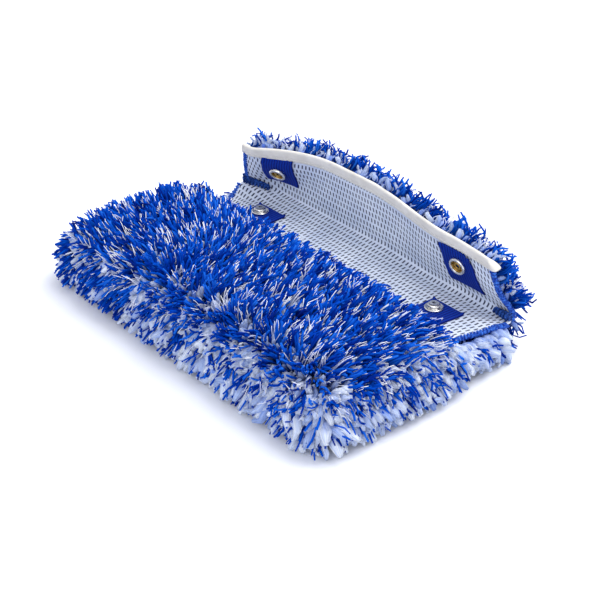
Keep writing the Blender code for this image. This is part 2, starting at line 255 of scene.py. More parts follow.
def tubes(name, lines, radii, sides, uv):
    """Closed tubes along many paths, joined in one mesh; uv is {map: (paths, places, sides, 2)}."""
    paths, places = lines.shape[:2]
    rings = tube_rings(lines, radii, sides)
    one = grid_faces(places, sides, wrap=True)[:, ::-1]
    start = np.arange(sides)[None]
    end = (np.arange(sides)[::-1] + (places - 1) * sides)[None]
    shift = (np.arange(paths) * places * sides)[:, None, None]
    side_faces = (one[None] + shift).reshape(-1, 4)
    caps = np.concatenate([start, end])
    cap_faces = (caps[None] + shift).reshape(-1, sides)
    maps = {key: values.reshape(-1, 2) for key, values in uv.items()}
    return new_mesh(name, rings.reshape(-1, 3), [side_faces, cap_faces], maps)


# ---------------------------------------------------------------- materials


def linear(colour):
    """An sRGB hex colour as the linear RGBA that shaders use."""
    values = [int(colour[i : i + 2], 16) / 255 for i in (1, 3, 5)]
    return [v / 12.92 if v <= 0.04045 else ((v + 0.055) / 1.055) ** 2.4 for v in values] + [1.0]


# Kinds of node, and the settings they are used with.
MATHS = "ShaderNodeMath"
NOISE = "ShaderNodeTexNoise"
RAMP = "ShaderNodeValToRGB"
BUMP = "ShaderNodeBump"
MIX = "ShaderNodeMix"
RANGE = "ShaderNodeMapRange"
PLUS = {"operation": "ADD"}
MINUS = {"operation": "SUBTRACT"}
TIMES = {"operation": "MULTIPLY"}
OVER = {"operation": "DIVIDE"}
SINE = {"operation": "SINE"}
SIZE = {"operation": "ABSOLUTE"}
FRACTION = {"operation": "FRACT"}
COVERED = {"data_type": "RGBA"}
TINTED = {"data_type": "RGBA", "blend_type": "MULTIPLY"}
SOFT_STEP = {"interpolation_type": "SMOOTHSTEP"}
TURN = 2 * math.pi


def new_material(name):
    """An empty node material."""
    material = bpy.data.materials.new(name)
    material.use_nodes = True
    material.node_tree.nodes.clear()
    return material


def surface(material, **inputs):
    """Ends a material with its Principled shader, which takes these inputs, and its output."""
    shader = add(material, "ShaderNodeBsdfPrincipled", **inputs)
    add(material, "ShaderNodeOutputMaterial", Surface=shader)
    return material


def add(material, kind, settings=None, **inputs):
    """Adds a node; settings are its own, and inputs are values, or the nodes or sockets that feed them.

    An input is named by its label with _ for a space, or by its place as i0, i1 and so on. A node
    feeds its first output. A ramp's stops are (place, hex colour) pairs.
    """
    node = material.node_tree.nodes.new(kind)
    for key, value in (settings or {}).items():
        if key == "stops":
            set_stops(node.color_ramp.elements, value)
        else:
            setattr(node, key, value)
    for key, value in inputs.items():
        place = int(key[1:]) if key[0] == "i" and key[1:].isdigit() else key.replace("_", " ")
        source = value.outputs[0] if isinstance(value, bpy.types.Node) else value
        if isinstance(source, bpy.types.NodeSocket):
            material.node_tree.links.new(source, node.inputs[place])
        else:
            node.inputs[place].default_value = source
    return node


def set_stops(elements, stops):
    """Gives a ramp its (place, hex colour) stops."""
    while len(elements) < len(stops):
        elements.new(0.5)
    for element, (place, colour) in zip(elements, stops):
        element.position = place
        element.color = linear(colour)


def uv_parts(material, name):
    """The u and v of a piece's own map."""
    source = add(material, "ShaderNodeUVMap", {"uv_map": name})
    split = add(material, "ShaderNodeSeparateXYZ", i0=source.outputs["UV"])
    return split.outputs["X"], split.outputs["Y"]


def object_place(material):
    """Places on the piece, in metres."""
    return add(material, "ShaderNodeTexCoord").outputs["Object"]


def waves(material, value, length):
    """A sine along a value, one wave for each length."""
    angle = add(material, MATHS, TIMES, i0=value, i1=TURN / length)
    return add(material, MATHS, SINE, i0=angle)


def off_middle(material, value):
    """How far a value is from the middle of its own whole step, from 0 to a half."""
    part = add(material, MATHS, FRACTION, i0=value)
    return add(material, MATHS, SIZE, i0=add(material, MATHS, MINUS, i0=part, i1=0.5))


def shaded(material, colour, along, root, full):
    """A colour tinted towards its root, where the light that reaches it has passed between yarns."""
    tint = add(material, RAMP, {"stops": ((0.0, root), (full, "#FFFFFF"))}, i0=along)
    return add(material, MIX, TINTED, i0=1.0, i6=colour, i7=tint).outputs[2]


def yarn(name, stops, root, roughness, shine):
    """Spun microfibre pile: u of the map is the yarn's own tone, and v runs from root to tip.

    The root is darker, because less light reaches it between the yarns; the spun fibres make it matt,
    and its twist, 0.7 mm long, roughens it.
    """
    material = new_material(name)
    tone, along = uv_parts(material, "OFBake")
    colour = shaded(material, add(material, RAMP, {"stops": stops}, i0=tone), along, root, 0.75)
    fibres = add(material, NOISE, Vector=object_place(material), Scale=1.4 / MM, Detail=2.0)
    bump = add(material, BUMP, Strength=0.35, Distance=0.2 * MM, Height=fibres)
    return surface(material, Base_Color=colour, Roughness=roughness, Specular_IOR_Level=shine, Normal=bump)


def tuft_fibre():
    """Split microfibre, brushed into tufts: pale, soft, with fine streaks along each tuft.

    Its shadows are blue, because the light in them has come off the blue yarn. The streaks are drawn
    14 to a tuft's girth: the real fibres are far finer and would not show.
    """
    material = new_material("microfibre_brushed_pale")
    tone, along = uv_parts(material, "OFBake")
    # The ramp's blue end is painted shade, tinted by painted light off the blue yarn; the drawn-in grooves
    # and the tufts given a low tone take it.
    stops = ((0.0, "#6E93E4"), (0.35, "#BDD1F8"), (0.65, "#E2EBFE"), (1.0, "#FAFDFF"))
    colour = add(material, RAMP, {"stops": stops}, i0=tone)
    around, length = uv_parts(material, "fibres")
    strand = add(material, MATHS, TIMES, i0=around, i1=14.0)
    own = add(material, MATHS, TIMES, i0=tone, i1=40.0)
    place = add(material, "ShaderNodeCombineXYZ", i0=strand, i1=length, i2=own)
    streaks = add(material, NOISE, Vector=place, Scale=1.6, Detail=3.0)
    strands = add(material, RAMP, {"stops": ((0.35, "#A6BFF0"), (0.60, "#FFFFFF"))}, i0=streaks)
    streaked = add(material, MIX, TINTED, i0=0.8, i6=colour, i7=strands).outputs[2]
    # Painted blue shade towards each tuft's root.
    colour = shaded(material, streaked, along, "#86A6E8", 0.7)
    bump = add(material, BUMP, Strength=0.9, Distance=0.9 * MM, Height=streaks)
    return surface(material, Base_Color=colour, Roughness=0.9, Specular_IOR_Level=0.2, Normal=bump)


def warp_knit():
    """Warp-knitted ground, its wrong side: pale yarn with a short dark float on every wale.

    A float is 3.2 mm long and 1.2 mm wide, and the next wale's floats lie half a step further along.
    The map is in millimetres of cloth.
    """
    wale, course, loop = 1.65, 9.6, 1.2
    material = new_material("microfibre_warp_knitted_ground")
    across, along = uv_parts(material, "cloth")
    place = object_place(material)
    wobble = add(material, NOISE, Vector=place, Scale=0.22 / MM, Detail=1.0)
    drift = add(material, MATHS, TIMES, i0=add(material, MATHS, MINUS, i0=wobble, i1=0.5), i1=0.5)
    wales = add(material, MATHS, OVER, i0=add(material, MATHS, PLUS, i0=across, i1=drift), i1=wale)
    number = add(material, MATHS, {"operation": "FLOOR"}, i0=wales)
    odd = add(material, MATHS, {"operation": "FLOORED_MODULO"}, i0=number, i1=2.0)
    half_step = add(material, MATHS, TIMES, i0=odd, i1=0.5)
    courses = add(material, MATHS, OVER, i0=add(material, MATHS, PLUS, i0=along, i1=drift), i1=course)
    courses = add(material, MATHS, PLUS, i0=courses, i1=half_step)
    off_wale = off_middle(material, wales)
    off_course = off_middle(material, courses)
    narrow = add(material, RANGE, SOFT_STEP, i0=off_wale, i1=0.30, i2=0.44, i3=1.0, i4=0.0)
    short = add(material, RANGE, SOFT_STEP, i0=off_course, i1=0.145, i2=0.190, i3=1.0, i4=0.0)
    float_stitch = add(material, MATHS, TIMES, i0=narrow, i1=short)
    shade = add(material, NOISE, Vector=place, Scale=0.06 / MM)
    ground = add(material, RAMP, {"stops": ((0.3, "#CDD7E9"), (0.7, "#E3EAF6"))}, i0=shade)
    cover = add(material, MATHS, TIMES, i0=float_stitch, i1=0.97)
    colour = add(material, MIX, COVERED, i0=cover, i6=ground, i7=linear("#081340")).outputs[2]
    ribs = add(material, MATHS, TIMES, i0=waves(material, across, wale), i1=0.25)
    loops = add(material, MATHS, TIMES, i0=waves(material, along, loop), i1=0.2)
    relief = add(material, MATHS, PLUS, i0=ribs, i1=loops)
    sunk = add(material, MATHS, TIMES, i0=float_stitch, i1=1.6)
    height = add(material, MATHS, MINUS, i0=relief, i1=sunk)
    bump = add(material, BUMP, Strength=0.45, Distance=0.25 * MM, Height=height)
    return surface(material, Base_Color=colour, Roughness=0.85, Sheen_Weight=0.15, Normal=bump)


def webbing():
    """Woven polyester webbing: royal blue ribs 2.2 mm apart, each of threads 1.1 mm apart.

    Ribs finer than that, as real tape has, would not show, so they are drawn this coarse.
    """
    rib_step, pick_step = 2.2, 1.1
    material = new_material("polyester_webbing_woven")
    across, along = uv_parts(material, "cloth")
    rib = add(material, MATHS, SIZE, i0=waves(material, across, 2 * rib_step))
    picks = add(material, MATHS, TIMES, i0=waves(material, along, pick_step), i1=0.18)
    weave = add(material, MATHS, PLUS, i0=rib, i1=picks)
    # The colour follows the weave's height: darker in the grooves between ribs and picks as painted shade,
    # lighter on the crests as painted light.
    stops = ((0.15, "#00115C"), (0.55, "#001F86"), (1.0, "#08389E"))
    colour = add(material, RAMP, {"stops": stops}, i0=weave)
    bump = add(material, BUMP, Strength=0.6, Distance=0.3 * MM, Height=weave)
    return surface(material, Base_Color=colour, Roughness=0.75, Specular_IOR_Level=0.15, Normal=bump)


def tape_cloth():
    """Cream binding tape, plain woven: a matt cloth with threads 0.6 mm apart."""
    thread = 0.6
    material = new_material("cotton_tape_plain_woven")
    across, along = uv_parts(material, "cloth")
    weave = add(material, MATHS, TIMES, i0=waves(material, across, thread), i1=waves(material, along, thread))
    tone = add(material, NOISE, Vector=object_place(material), Scale=0.09 / MM)
    colour = add(material, RAMP, {"stops": ((0.3, "#DDD8CC"), (0.7, "#EEEAE0"))}, i0=tone)
    bump = add(material, BUMP, Strength=0.35, Distance=0.12 * MM, Height=weave)
    return surface(material, Base_Color=colour, Roughness=0.8, Sheen_Weight=0.2, Normal=bump)


def sewing_thread(name, dark, light):
    """Textured polyester or cotton sewing thread: its loft, 1.4 mm long, catches the light in flecks, painted
    into its colour as highlights.
    """
    material = new_material(name)
    fleck = add(material, NOISE, Vector=object_place(material), Scale=0.7 / MM, Detail=2.0)
    colour = add(material, RAMP, {"stops": ((0.35, dark), (0.68, light))}, i0=fleck)
    bump = add(material, BUMP, Strength=0.5, Distance=0.2 * MM, Height=fleck)
    return surface(material, Base_Color=colour, Roughness=0.7, Specular_IOR_Level=0.2, Normal=bump)


def plated_metal(name, colour, worn, roughness):
    """Stamped and plated sheet metal: bright, with faint rubbing where it has been handled."""
    material = new_material(name)
    rub = add(material, NOISE, Vector=object_place(material), Scale=0.9 / MM, Detail=3.0)
    tone = add(material, RAMP, {"stops": ((0.35, worn), (0.65, colour))}, i0=rub)
    spread = add(material, RANGE, i0=rub, i1=0.3, i2=0.7, i3=roughness + 0.12, i4=roughness)
    return surface(material, Base_Color=tone, Roughness=spread, Metallic=1.0)


BLUE_STOPS = ((0.0, "#001B74"), (0.35, "#0036A2"), (0.7, "#004CBC"), (1.0, "#1E68D4"))
# The white yarn's ramp runs from a painted bluish shade to white; the white yarns given a low tone take the
# shade.
WHITE_STOPS = ((0.0, "#BCCBF4"), (1.0, "#FFFFFF"))
BLUE_YARN = yarn("microfibre_yarn_dyed_blue", BLUE_STOPS, "#4A4F60", 0.9, 0.04)
WHITE_YARN = yarn("microfibre_yarn_bleached", WHITE_STOPS, "#9DB2E6", 0.7, 0.2)
TUFTS = tuft_fibre()
KNIT_CLOTH = warp_knit()
WEBBING = webbing()
TAPE_CLOTH = tape_cloth()
SEAM_THREAD = sewing_thread("polyester_thread_overlocked", "#0A2F92", "#4079DC")
# A darker copy of the overlock thread for the darts in the crease corners: painted shade.
DART_THREAD = sewing_thread("polyester_thread_overlocked_dark", "#051D54", "#2C5CB2")
CREAM_THREAD = sewing_thread("cotton_thread_cream", "#D8D4C8", "#F4F1E8")
NICKEL = plated_metal("steel_nickel_plated", "#F0EFEC", "#D2D0CC", 0.18)
BRASS = plated_metal("brass_stamped", "#E2BF6C", "#9A7430", 0.20)


def dress(piece, material, body=None, replaces=()):
    """Gives a piece its material and the body it rides on, and hides the CAD parts that it stands for."""
    piece.data.materials.append(material)
    if replaces:
        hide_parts(*replaces)
    if body:
        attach(piece, body)
    return piece


# ---------------------------------------------------------------- the knit


def spline(controls, steps):
    """A smooth curve through control points, given as (points, columns, 2): Catmull-Rom pieces."""
    first = 2 * controls[0] - controls[1]
    last = 2 * controls[-1] - controls[-2]
    padded = np.concatenate([first[None], controls, last[None]])
    t = np.linspace(0, 1, steps, endpoint=False)[:, None, None]
    curves = []
    for a, b, c, d in zip(padded[:-3], padded[1:-2], padded[2:-1], padded[3:]):
        squared = (2 * a - 5 * b + 4 * c - d) * t**2
        cubed = (3 * b - a - 3 * c + d) * t**3
        curves.append(0.5 * (2 * b + (c - a) * t + squared + cubed))
    return np.concatenate(curves + [controls[-1][None]])


def even_rows(curve, rows):
    """Resamples each column of a curve to rows that are equally far apart along it; also the lengths."""
    step = np.linalg.norm(np.diff(curve, axis=0), axis=-1)
    length = np.concatenate([np.zeros((1, curve.shape[1])), np.cumsum(step, axis=0)])
    share = np.linspace(0, 1, rows)
    out = np.empty((rows, *curve.shape[1:]))
    for column in range(curve.shape[1]):
        want = share * length[-1, column]
        for part in range(curve.shape[2]):
            out[:, column, part] = np.interp(want, length[:, column], curve[:, column, part])
    return out, share[:, None] * length[-1][None]


# How the flap's free edge and its middle come back towards its plane on the right: by how much, and
# from where to where across.
EDGE_DROPS = (
    (6.3 * MM, 0.016, 0.100),
    (1.5 * MM, 0.115, 0.135),
    (1.1 * MM, 0.0, 0.025),
    (0.7 * MM, 0.060, 0.085),
    (2.4 * MM, 0.090, 0.125),
)
MIDDLE_DROPS = ((6.0 * MM, 0.016, 0.080), (3.5 * MM, 0.095, 0.125))
FOOT_BACK = 5.0 * MM  # how far the crease draws the flap's foot back
FREE_BOW = 4.0 * MM  # an inward bow up to this is left alone
LAST_BOW = 3.0 * MM  # and it never goes further past that than this


def flap_bow(x, height):
    """How far the flap's face stands off its plane, outwards below zero, at a place across and up it.

    It bows out between its ends, most at the free edge, and its foot is drawn back by the crease. On
    the left it swings forward, by more for each step across, so that corner leans into the pocket, but
    never so far that it would meet the strip when the flap is shut.
    """
    share = height / FLAP_DEPTH
    edge = 12.7 * MM - 2.85 * np.clip(-x - 0.036, 0, None) ** 2
    for drop, near, far in EDGE_DROPS:
        edge = edge - drop * smooth_step(near, far, x)
    middle = 9.0 * MM
    for drop, near, far in MIDDLE_DROPS:
        middle = middle - drop * smooth_step(near, far, x)
    lean = 0.36 * smooth_step(0.05, 0.09, -x) - 0.16 * smooth_step(0.100, 0.120, -x)
    middle = middle - 14.5 * MM * smooth_step(0.058, 0.128, -x) - 3.3 * MM * smooth_step(0.104, 0.126, -x)
    middle = middle - lean * (height - SNAP_HEIGHT)
    corner = smooth_step(0.72 * HALF_WIDTH, HALF_WIDTH, -x)
    low = smooth_step(-0.1, 0.48, share)
    low = low + (1 - low) * 0.8 * corner
    high = smooth_step(0.45, 1.02, share)
    foot = (1 - smooth_step(-0.15, 0.45, share)) * (1 - corner) * FOOT_BACK
    bow = -foot - (middle + (edge - middle) * high) * low
    return np.where(bow > FREE_BOW, FREE_BOW + LAST_BOW * np.tanh((bow - FREE_BOW) / LAST_BOW), bow)


CREASE_Y = 81.2 * MM  # the back of the crease, half way across
CREASE_Z = 26.2 * MM  # and its height
RISE_Y = 64.0 * MM  # where the strip starts to rise into it


def main_knit():
    """The bottom panel, the crease and the flap, which are one piece of knit.

    For each place across, a curve in the upright plane runs flat to the strip's end, up into the
    crease, round it and up the flap. Returns the grid of its inner face and its lengths in mm.
    """
    x = np.linspace(-1, 1, COLUMNS) * HALF_WIDTH
    u = x / HALF_WIDTH
    left = smooth_step(0.72, 1.0, -u)
    right = smooth_step(0.5, 1.0, u)
    sunk = 3.0 * MM * smooth_step(0.05, 0.5, u) + 1.8 * MM * smooth_step(0.6, 1.0, u)
    back = 4.5 * MM * right
    crease_y = CREASE_Y - 2.2 * MM * u**2 - 9.0 * MM * left + back
    crease_z = CREASE_Z + 4.2 * MM * left - sunk
    rise_y = RISE_Y - 10.0 * MM * left
    zero = np.zeros_like(x)
    controls = [
        np.stack([rise_y - 6.0 * MM, zero + KNIT_TOP], -1),
        np.stack([rise_y, zero + KNIT_TOP], -1),
        np.stack([crease_y - 6.5 * MM, crease_z - 1.4 * MM], -1),
        np.stack([crease_y - 1.5 * MM, crease_z - 0.1 * MM], -1),
        np.stack([crease_y - 0.8 * MM, crease_z + 2.6 * MM], -1),
    ]
    for height in (7.0 * MM, 12.5 * MM, SNAP_HEIGHT, 29.0 * MM, 36.0 * MM, FLAP_DEPTH):
        place = from_flap(zero, height, FLAP_FACE + flap_bow(x, height))
        controls.append(place[:, 1:] + np.stack([back, -sunk], -1))
    bent, length = even_rows(spline(np.array(controls), 10), BENT_ROWS)
    flat_y = END_Y + np.linspace(0, 1, FLAT_ROWS, endpoint=False)[:, None] * (bent[0, :, 0] - END_Y)[None]
    flat = np.stack([flat_y, np.full_like(flat_y, KNIT_TOP)], -1)
    section = np.concatenate([flat, bent])
    lengths = np.concatenate([flat_y - END_Y, length + (bent[0, :, 0] - END_Y)[None]])
    climb = np.clip((np.arange(len(section)) - FLAT_ROWS - 14) / (BENT_ROWS - 15), 0, 1)[:, None]
    strip = np.exp(-(((section[..., 0] - 0.036) / 0.016) ** 2)) * (climb == 0)
    ends = np.abs(u)[None] ** 3
    flap_in = np.where(u < 0, 0.148, 0.088) * climb**1.2
    strip_in = np.where(u < 0, 0.085, 0.040) * strip * ends
    across = x[None] * (1 - flap_in - strip_in)
    grid = np.concatenate([across[..., None], section], -1)
    uv = np.stack([np.broadcast_to(x[None], across.shape), lengths], -1) / MM
    return grid, uv


def top_knit():
    """The top panel: a shallow dome that rolls down to its seams and stays open along the mouth."""
    x = np.linspace(-1, 1, COLUMNS) * HALF_WIDTH
    y = np.linspace(END_Y, MOUTH_Y, 64)
    across, along = np.meshgrid(x, y)
    from_side = HALF_WIDTH - np.abs(across)
    from_end = along - END_Y
    rim = np.minimum(from_side, from_end)
    roll = 1 - np.exp(-rim / (0.5 * RIM_ROLL))
    swell = np.sin(math.pi * np.clip((across / HALF_WIDTH + 1) / 2, 0, 1)) ** 0.7
    swell = swell * np.sin(math.pi * np.clip(0.04 + 0.60 * (along - END_Y) / (MOUTH_Y - END_Y), 0, 1))
    z = SEAM_Z + (TOP_Z + KNIT - SEAM_Z) * roll + CROWN * swell
    return np.stack([across, along, z], -1)


# ---------------------------------------------------------------- the pile


PileKind = namedtuple("PileKind", "name locks each length radius sides segments fibre tones")
Fibre = namedtuple("Fibre", "material profile")


def yarn_profile(t):
    """A yarn's thickness: a little thinner at its root, and cut off blunt at its tip."""
    return 0.85 + 0.25 * np.sin(math.pi * np.clip(t, 0, 1)) - 0.10 * t**6


def tuft_profile(t):
    """A tuft's thickness: thin at its root, fullest past its middle, rounded at its tip."""
    return 0.30 + 0.75 * np.sin(math.pi * np.clip(0.06 + 0.88 * t, 0, 1)) ** 0.8 - 0.12 * t


BLUE = Fibre(BLUE_YARN, yarn_profile)
WHITE = Fibre(WHITE_YARN, yarn_profile)
TUFT = Fibre(TUFTS, tuft_profile)


def locks(rng, kind, spread, low, high):
    """Roots in locks: middles anywhere in a rectangle, with some roots spread round every one.

    Returns the roots' places, which lock each belongs to, and the offset from its middle.
    """
    middles = rng.uniform(low, high, (kind.locks, 2))
    which = np.repeat(np.arange(kind.locks), kind.each)
    offset = rng.normal(0, spread, (kind.locks * kind.each, 2))
    return middles[which] + offset, which, offset


def grow(rng, roots, rise, lean, length, segments, droop, curl, curly, on_knit=False):
    """The middle lines of many yarns.

    A yarn sets off along rise and turns towards lean, sagging by droop; it wavers by curl round its
    line, and a share of them, curly, by four times as much. Where the floor stops it, it lies along.
    """
    count = len(roots)
    t = np.linspace(0, 1, segments + 1)[None, :, None]
    heading = rise[:, None] * (1 - t) ** 1.3 + lean[:, None] * (0.15 + t) ** 0.8
    heading = unit(heading) - UP * droop * t
    heading = unit(heading)
    step = heading[:, :-1] * (length / segments)[:, None, None]
    lines = np.concatenate([np.zeros((count, 1, 3)), np.cumsum(step, axis=1)], axis=1)
    side = unit(np.cross(unit(rise + lean), rng.normal(size=(count, 3))))
    other = np.cross(unit(rise + lean), side)
    size = curl * rng.uniform(0.3, 1.3, count) * np.where(rng.uniform(size=count) < curly, 4.0, 1.0)
    phase = rng.uniform(0, 2 * math.pi, count)[:, None, None]
    turns = rng.uniform(0.5, 1.3, count)[:, None, None] * 2 * math.pi
    waver = side[:, None] * np.sin(turns * t + phase) + other[:, None] * np.cos(turns * t + phase)
    lines = roots[:, None] + lines + size[:, None, None] * t * waver
    least = YARN_R + rng.uniform(FLOOR_GAP, 2.2 * MM, count)[:, None]
    if on_knit:
        over = (np.abs(lines[..., 0]) < HALF_WIDTH + 1.0 * MM) & (lines[..., 1] > END_Y)
        least = least + np.where(over, KNIT_TOP, 0.0)
    lines[..., 2] = np.maximum(lines[..., 2], least)
    return lines


# The room that loose pile may take, past the model's own box.
LOW_LIMIT = np.array(CAD_BOX[0]) - np.array([7.5, 6.0, 0.0]) * MM
HIGH_LIMIT = np.array(CAD_BOX[1]) + np.array([7.5, 6.0, 7.0]) * MM


def fitted(lines):
    """Yarns shortened so that they stay inside the room for loose pile, and which are worth keeping."""
    roots = lines[:, :1]
    reach = lines - roots
    room = np.where(reach < 0, LOW_LIMIT - roots, HIGH_LIMIT - roots)
    safe = np.where(np.abs(reach) > 1e-6, reach, 1e-6)
    share = np.where(np.abs(reach) > 1e-6, room / safe, 9.0).min(axis=(1, 2))
    keep = share > 0.45
    return roots + reach * np.clip(share, 0, 1)[:, None, None], keep


def tip_tone(rng, which, low, high):
    """A tone for each yarn: its lock's own, with a little of its own."""
    base = rng.uniform(low, high, which.max() + 1)
    return np.clip(base[which] + rng.normal(0, 0.14, len(which)), 0, 1)


def pile_piece(rng, name, node, kind, lines, which, thinnest):
    """One mesh of yarns or tufts along the given lines, which stands for a CAD node.

    Each is between thinnest and 1.2 times as thick as its kind says, and has its tone and the length
    along it in its map. A tuft has every second side drawn in, like strands brushed together; its tone
    is lowered there as painted shade in the grooves, and raised on the other sides as painted light.
    """
    sides = kind.sides
    radius = kind.radius * rng.uniform(thinnest, 1.2, len(lines))
    tone = tip_tone(rng, which, *kind.tones)
    lines, keep = fitted(lines)
    lines, radius, tone = lines[keep], radius[keep], tone[keep]
    places = lines.shape[1]
    t = np.linspace(0, 1, places)
    turn = np.arange(sides) / sides
    shape = (len(lines), places, sides)
    ridged = sides > 5
    ridge = np.where(np.arange(sides) % 2 == 0, 1.0, -1.0) if ridged else np.zeros(sides)
    uneven = rng.uniform(0.3, 1.0, (len(lines), 1, sides))
    radii = radius[:, None, None] * kind.fibre.profile(t)[None, :, None] * (1 + 0.26 * ridge * uneven)
    # A tuft's drawn-in sides take a lower tone, painted shade in its grooves, and its raised sides a higher
    # one, painted light.
    tone = np.clip(tone, 0.02, 0.97)[:, None, None] + 0.16 * ridge * uneven
    u = np.clip(tone, 0.01, 0.98) + 0.012 * np.abs(2 * turn - 1)[None, None]
    v = 0.01 + 0.98 * t[None, :, None]
    uv = {"OFBake": np.stack([np.broadcast_to(u, shape), np.broadcast_to(v, shape)], -1)}
    if ridged:
        round_it = np.broadcast_to(turn[None, None], shape)
        along_it = np.broadcast_to(t[None, :, None], shape)
        uv["fibres"] = np.stack([round_it, along_it], -1)
    piece = tubes(name, lines, radii, sides, uv)
    return dress(piece, kind.fibre.material, replaces=(node,))


TOP_GRID = top_knit()
TOP_NORMALS = grid_normals(TOP_GRID)
MAIN_GRID, MAIN_UV = main_knit()
MAIN_NORMALS = grid_normals(MAIN_GRID)


def top_lean(x, y):
    """Which way the top's pile lies at a place: out from the whorl, towards the mouth on the right.

    Beyond the whorl's line it falls over the closed end, and at the sides over the side seams.
    """
    right = smooth_step(-0.072, -0.010, x)
    towards_mouth = smooth_step(-0.010, 0.012, y - WHORL[1]) * 2 - 1
    right_edge = smooth_step(0.085, 0.125, x)
    left_way = np.stack([np.full_like(x, -1.0), -0.5 + 1.15 * smooth_step(-0.07, 0.02, y)], -1)
    right_way = np.stack([0.25 + 0.9 * right_edge, 1.15 * towards_mouth], -1)
    return left_way * (1 - right)[:, None] + right_way * right[:, None]


def top_pile(rng, side, sign):
    """The pile of half the top panel: tufts at the root, blue yarn and thin white yarn between."""
    made = []
    left_x, right_x = sorted((0.0, sign * HALF_WIDTH))
    low, high = (left_x, END_Y), (right_x, MOUTH_Y)
    kinds = (
        PileKind("blue", 700, 5, YARN_LENGTH, YARN_R, 4, 6, BLUE, (0.10, 0.95)),
        PileKind("white", 430, 3, 0.98 * YARN_LENGTH, FINE_YARN_R, 3, 5, WHITE, (0.3, 1.0)),
        PileKind("tufts", 760, 1, 1.15 * TUFT_LENGTH, TUFT_R, 8, 5, TUFT, (0.2, 0.95)),
    )
    for kind in kinds:
        spot, which, offset = locks(rng, kind, 1.15 * MM, low, high)
        spot = np.clip(spot, low, high)
        row = (spot[:, 1] - END_Y) / (MOUTH_Y - END_Y) * (TOP_GRID.shape[0] - 1)
        column = (spot[:, 0] / HALF_WIDTH + 1) / 2 * (COLUMNS - 1)
        roots = on_grid(TOP_GRID, row, column)
        normal = unit(on_grid(TOP_NORMALS, row, column))
        lean = top_lean(spot[:, 0], spot[:, 1])
        lock_turn = rng.normal(0, 0.36, (kind.locks, 2))[which]
        lean = lean + lock_turn + rng.normal(0, 0.18, lean.shape)
        lift = 0.70 + 0.25 * rng.normal(size=kind.locks)[which]
        lift = lift + 0.35 * (1 - smooth_step(-0.1, 0.0, spot[:, 0]))
        at_mouth = smooth_step(MOUTH_Y - 24.0 * MM, MOUTH_Y, spot[:, 1])
        lift = lift - 0.42 * at_mouth
        if kind.name == "tufts":
            lean = lean * 0.6
            lift = lift + 0.5
        way = np.column_stack([lean, np.clip(lift, 0.1, 2.0)]) - level(offset * 120)
        short = np.where(spot[:, 0] < -0.06, 0.30, 0.42)
        long = kind.length * rng.uniform(0.7, 1.15, len(roots)) * (1 - short * at_mouth)
        lines = grow(rng, roots, normal, unit(way), long, kind.segments, 0.12, 0.8 * MM, 0.08, on_knit=True)
        made.append(pile_piece(rng, f"top_pile_{kind.name}_{side}", "top_pile", kind, lines, which, 0.75))
    return made


def rim_roots(rng, kind):
    """Roots along the side seams and the closed end: places, outward ways, and which lock."""
    straight = MOUTH_Y - END_Y + 0.045
    total = 2 * straight + 2 * HALF_WIDTH
    middles = rng.uniform(0, total, kind.locks)
    which = np.repeat(np.arange(kind.locks), kind.each)
    along = middles[which] + rng.normal(0, 1.5 * MM, len(which))
    along = np.clip(along, 0, total)
    left = along < straight
    end = (along >= straight) & (along < straight + 2 * HALF_WIDTH)
    past_left = along - straight
    past_end = past_left - 2 * HALF_WIDTH
    x = np.where(left, -HALF_WIDTH, np.where(end, past_left - HALF_WIDTH, HALF_WIDTH))
    y = np.where(left, END_Y - past_left, np.where(end, END_Y, END_Y + past_end))
    out = np.where(left[:, None], [-1.0, 0.0], np.where(end[:, None], [0.0, -1.0], [1.0, 0.0]))
    sideways = smooth_step(0.108, 0.127, np.abs(x)) * np.sign(x)
    endways = smooth_step(0.018, 0.0, y - END_Y)
    corner = np.stack([sideways, -endways], -1)
    return np.stack([x, y], -1), unit(out + 0.9 * corner), which


